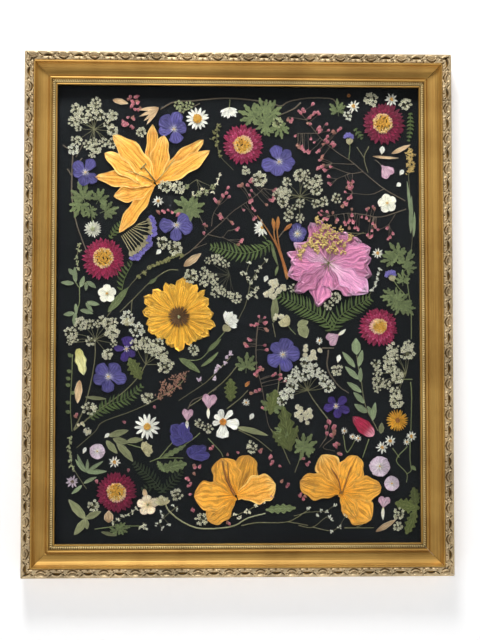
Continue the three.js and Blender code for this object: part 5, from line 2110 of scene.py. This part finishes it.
def small_heads() -> list[Specimen]:
    """Cream clusters, side flowers, small daisies, white petals, hearts, buds and pods.

    Returns:
        The specimens, with their tables in millimetres on the card.
    """
    def tufts(name: str, finish: Finish, heads: str, **more: object) -> Tufts:
        """Heads from a table."""
        return Tufts(name, "white_petals", heads=rows(heads, 5), finish=finish, **more)

    star = replace(RAY, claw=0.5, rows=5, columns=3)
    return [flower("peach_flower", "cream_petals", -98, -207,
            "20 12 10 100 11 10 165 12 9 235 12 9 300 11 10", finish=PEACH, eye=SEED_OLIVE, stamens=4,
            stamen_length=3),
        tufts("cream_clusters", BUTTER, """40 30 7 90 360 33 24 6 150 360 46 25 6 30 360 38 20 5 250 360 77
            -40 6 90 360 85 -43 6 20 360 80 -49 5.5 250 360 74 -47 5 200 360 66 -106 6 120 360 75 -110 6 20
            360 71 -116 5 260 360 65 -114 4.5 200 360 -170 -122 4 90 360 -163 -128 4 0 360 44 -3 6 120 360
            -82 -201 4 60 360""", florets=9, width=0.6, scatter=5,
            shape=replace(ROUND_PETAL, rows=6, columns=5)),
        tufts("cream_fan", CALYX, "51 -9 7 140 90 -83 -203 6 90 110", florets=8, width=0.42,
            stems=paths("54 -14 58 -19 62 -23")),
        tufts("white_carnation", WHITE, "-9 -7 8 40 110", florets=12, width=0.42,
            stems=paths("-15 -20 -28 -35 -42 -50 -62 -51")),
        tufts("side_flowers", CALYX, "-99 -147 6 30 120 -121 -10 5 90 90 -14 -17 5 45 60", florets=9,
            stems=paths("-105 -146 -120 -142")),
        tufts("ring_flower", CHALK, "-159 91 9.5 90 360", florets=22, width=0.2, eye=PEARL,
            stems=paths("-159 91 -160 105 -162 118")),
        tufts("small_daisies", WHITE, """126 228 7.5 90 360 168 236 7.5 90 360 -88 122 6.5 90 360 21 92 6
            200 200 152 66 6.5 90 360 88 -30 4.5 90 360 -134 -161 7 90 360 156 -146 7 90 360 165 -139 6.5 90
            360 188 -134 6.5 90 360 183 -140 4 90 360 8 -97 4.5 90 360 115 -128 4 90 360 124 -134 4 90 360
            130 -136 4 90 360""", florets=9, width=0.24, shape=star, eye=GOLD_FLORET,
            stems=paths("22 90 27 85 30 81")),
        tufts("side_daisy", WHITE, "-11 220 7 270 130", florets=11, width=0.3, shape=star,
            stems=paths("-11 225 -10 230 -10 235")),
        tufts("star_flower", BLUSH, "-179 -182 7 90 360", florets=9, width=0.28, shape=star, eye=BROWN_EYE),
        PlainLeaves("loose_white_petals", "white_petals", finish=WHITE, height=1.4,
            shape=replace(OVAL_LEAF, widest=0.6), leaves=rows("""157 175 158 184 6 177 152 181 158 5 173 140
            178 143 5 28 34 31 41 5 108 -54 110 -45 5 12 -116 16 -109 5 -90 64 -85 69 5 -168 -152 -165 -145
            4 -145 -135 -140 -130 4""", 5)),
        Hearts("bleeding_hearts", "pink_petals", hearts=rows("""157 163 167 151 16 0 -33 -105 -31 -88 16 12
            -56 -118 -55 -104 12 9 110 -23 97 -31 15 11 157 -212 159 -199 14 14""", 6),
            stalks=paths("150 169 154 166 158 162 / -28 -85 -24 -82 / -55 -104 -50 -95 -38 -90")),
        PlainLeaves("tan_buds", "cream_petals", finish=TAN, height=1.3, curl=6.0,
            leaves=rows("""-138 233 -121 229 6 -88 225 -110 222 4 -88 225 -109 215 4 -88 225 -104 210 4 -88
            225 -101 206 4 -60 51 -41 65 8 -172 -73 -174 -98 8 168 176 189 186 5 147 173 176 171 3 149 -237
            171 -224 6 -140 -226 -140 -213 10 -102 -190 -100 -200 5""", 5)),
        PlainLeaves("pods", "cream_petals", finish=TWIG, height=1.2, curl=6.0,
            leaves=rows("37 104 39 90 4 43 106 42 90 4 58 98 49 90 4 7 -80 12 -74 4 119 240 123 240 4", 5))]


def bare_stems() -> list[Specimen]:
    """Stems and twigs that carry nothing of their own.

    Returns:
        The specimens, with their tables in millimetres on the card.
    """
    return [Stems("stems_top", "card", finish=BARK_STEM, thick=1.5, thin=1.1,
            paths=paths("""-86 223 -72 231 -50 233 -20 236 8 235 35 231 46 228 55 233 75 237 100 237 107 233
            / 68 232 60 225 43 217 / -65 219 -43 230""")),
        Stems("stems_left", "card", finish=BARK_STEM, thick=1.5, thin=1.0,
            paths=paths("""-181 177 -182 150 -182 130 -180 112 -175 92 -166 68 / -192 183 -183 177 / -178
            170 -170 184 / -181 158 -171 169 / -187 157 -182 149""")),
        Stems("stems_middle", "card", finish=STEM, thick=1.0, thin=0.8,
            paths=paths("""-66 47 -78 46 -97 33 -113 17 -129 1 / -116 14 -117 0 / 143 184 138 171 142 155 /
            130 183 138 171 / 0 -55 -15 -73 -35 -89 -53 -101 / -13 -104 0 -94 10 -84 / 37 -11 40 -26 / 42
            -90 45 -60 42 -52 / 129 -46 131 -60 134 -75 136 -90 139 -103 145 -115 152 -128""")),
        Stems("stems_right", "card", finish=GREEN_STEM,
            paths=paths("""180 45 184 38 187 18 189 0 189 -28 / 190 -72 170 -72 / 188 -75 189 -90 188 -128 /
            168 -147 175 -157 / 184 -145 172 -160 183 -174 183 -184 / 187 -138 187 -160 188 -171 183 -175 /
            142 -137 135 -157 / 114 -133 118 -151 127 -138""")),
        Stems("stems_low_left", "card", finish=GREEN_STEM,
            paths=paths("""-173 28 -173 12 -176 0 / -180 -45 -181 -75 -182 -100 -180 -128 / -178 35 -173 28
            -165 34 / -155 -233 -130 -230 -106 -230 / -33 -136 -20 -150 -17 -156 / -42 -130 -50 -137 -65
            -147 / -86 -157 -96 -161 / -86 -157 -70 -138 / -86 -157 -60 -157""")),
        Stems("stems_low", "card", finish=STEM, paths=paths("""3 -230 20 -227 53 -226 75 -214 / 53 -226 75
            -230 / 115 -233 147 -233 / 127 -233 135 -229 / 35 -126 45 -140 56 -164 / 60 -125 65 -137 67 -155
            61 -173 / 0 -127 20 -137 36 -150""")),
        Stems("pale_stem_low", "card", finish=PALE_STEM, thick=1.7, thin=1.2,
            paths=paths("-80 -204 -75 -214 -60 -226 -40 -233 -8 -231 10 -222 29 -217")),
        Stems("orange_twig", "card", finish=TWIG, height=1.4, thick=1.0, thin=2.0,
            paths=paths("""20 107 30 93 38 80 43 70 48 55 52 39 / 38 100 39 84 44 68 50 48 53 37 / 43 106 42
            88 45 70 51 50 54 39""")),
        Stems("dark_twigs", "card", finish=BARK_STEM, thick=1.6, thin=1.0,
            paths=paths("91 -38 104 -38 / 98 -40 97 -60 108 -78 120 -87 / 58 98 49 90 43 82"))]


def all_specimens() -> list[Specimen]:
    """Every specimen on the card, from the bare stems up to the great blooms.

    Returns:
        The specimens, lowest first.
    """
    groups = (bare_stems, greenery, umbels, sprigs, spikes, small_heads, small_blooms, violet_flowers,
        strawflowers, great_blooms)
    return [specimen for group in groups for specimen in group()]


def main() -> None:
    """Builds the frame and everything on the card, then the studio."""
    logging.basicConfig(level=logging.INFO, format="%(message)s")
    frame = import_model()
    card = Card.of_frame()
    PictureFrame(frame["nodes"]).build(card)
    for specimen in all_specimens():
        specimen.build(card)
    Studio().build()


if __name__ == "__main__":
    main()
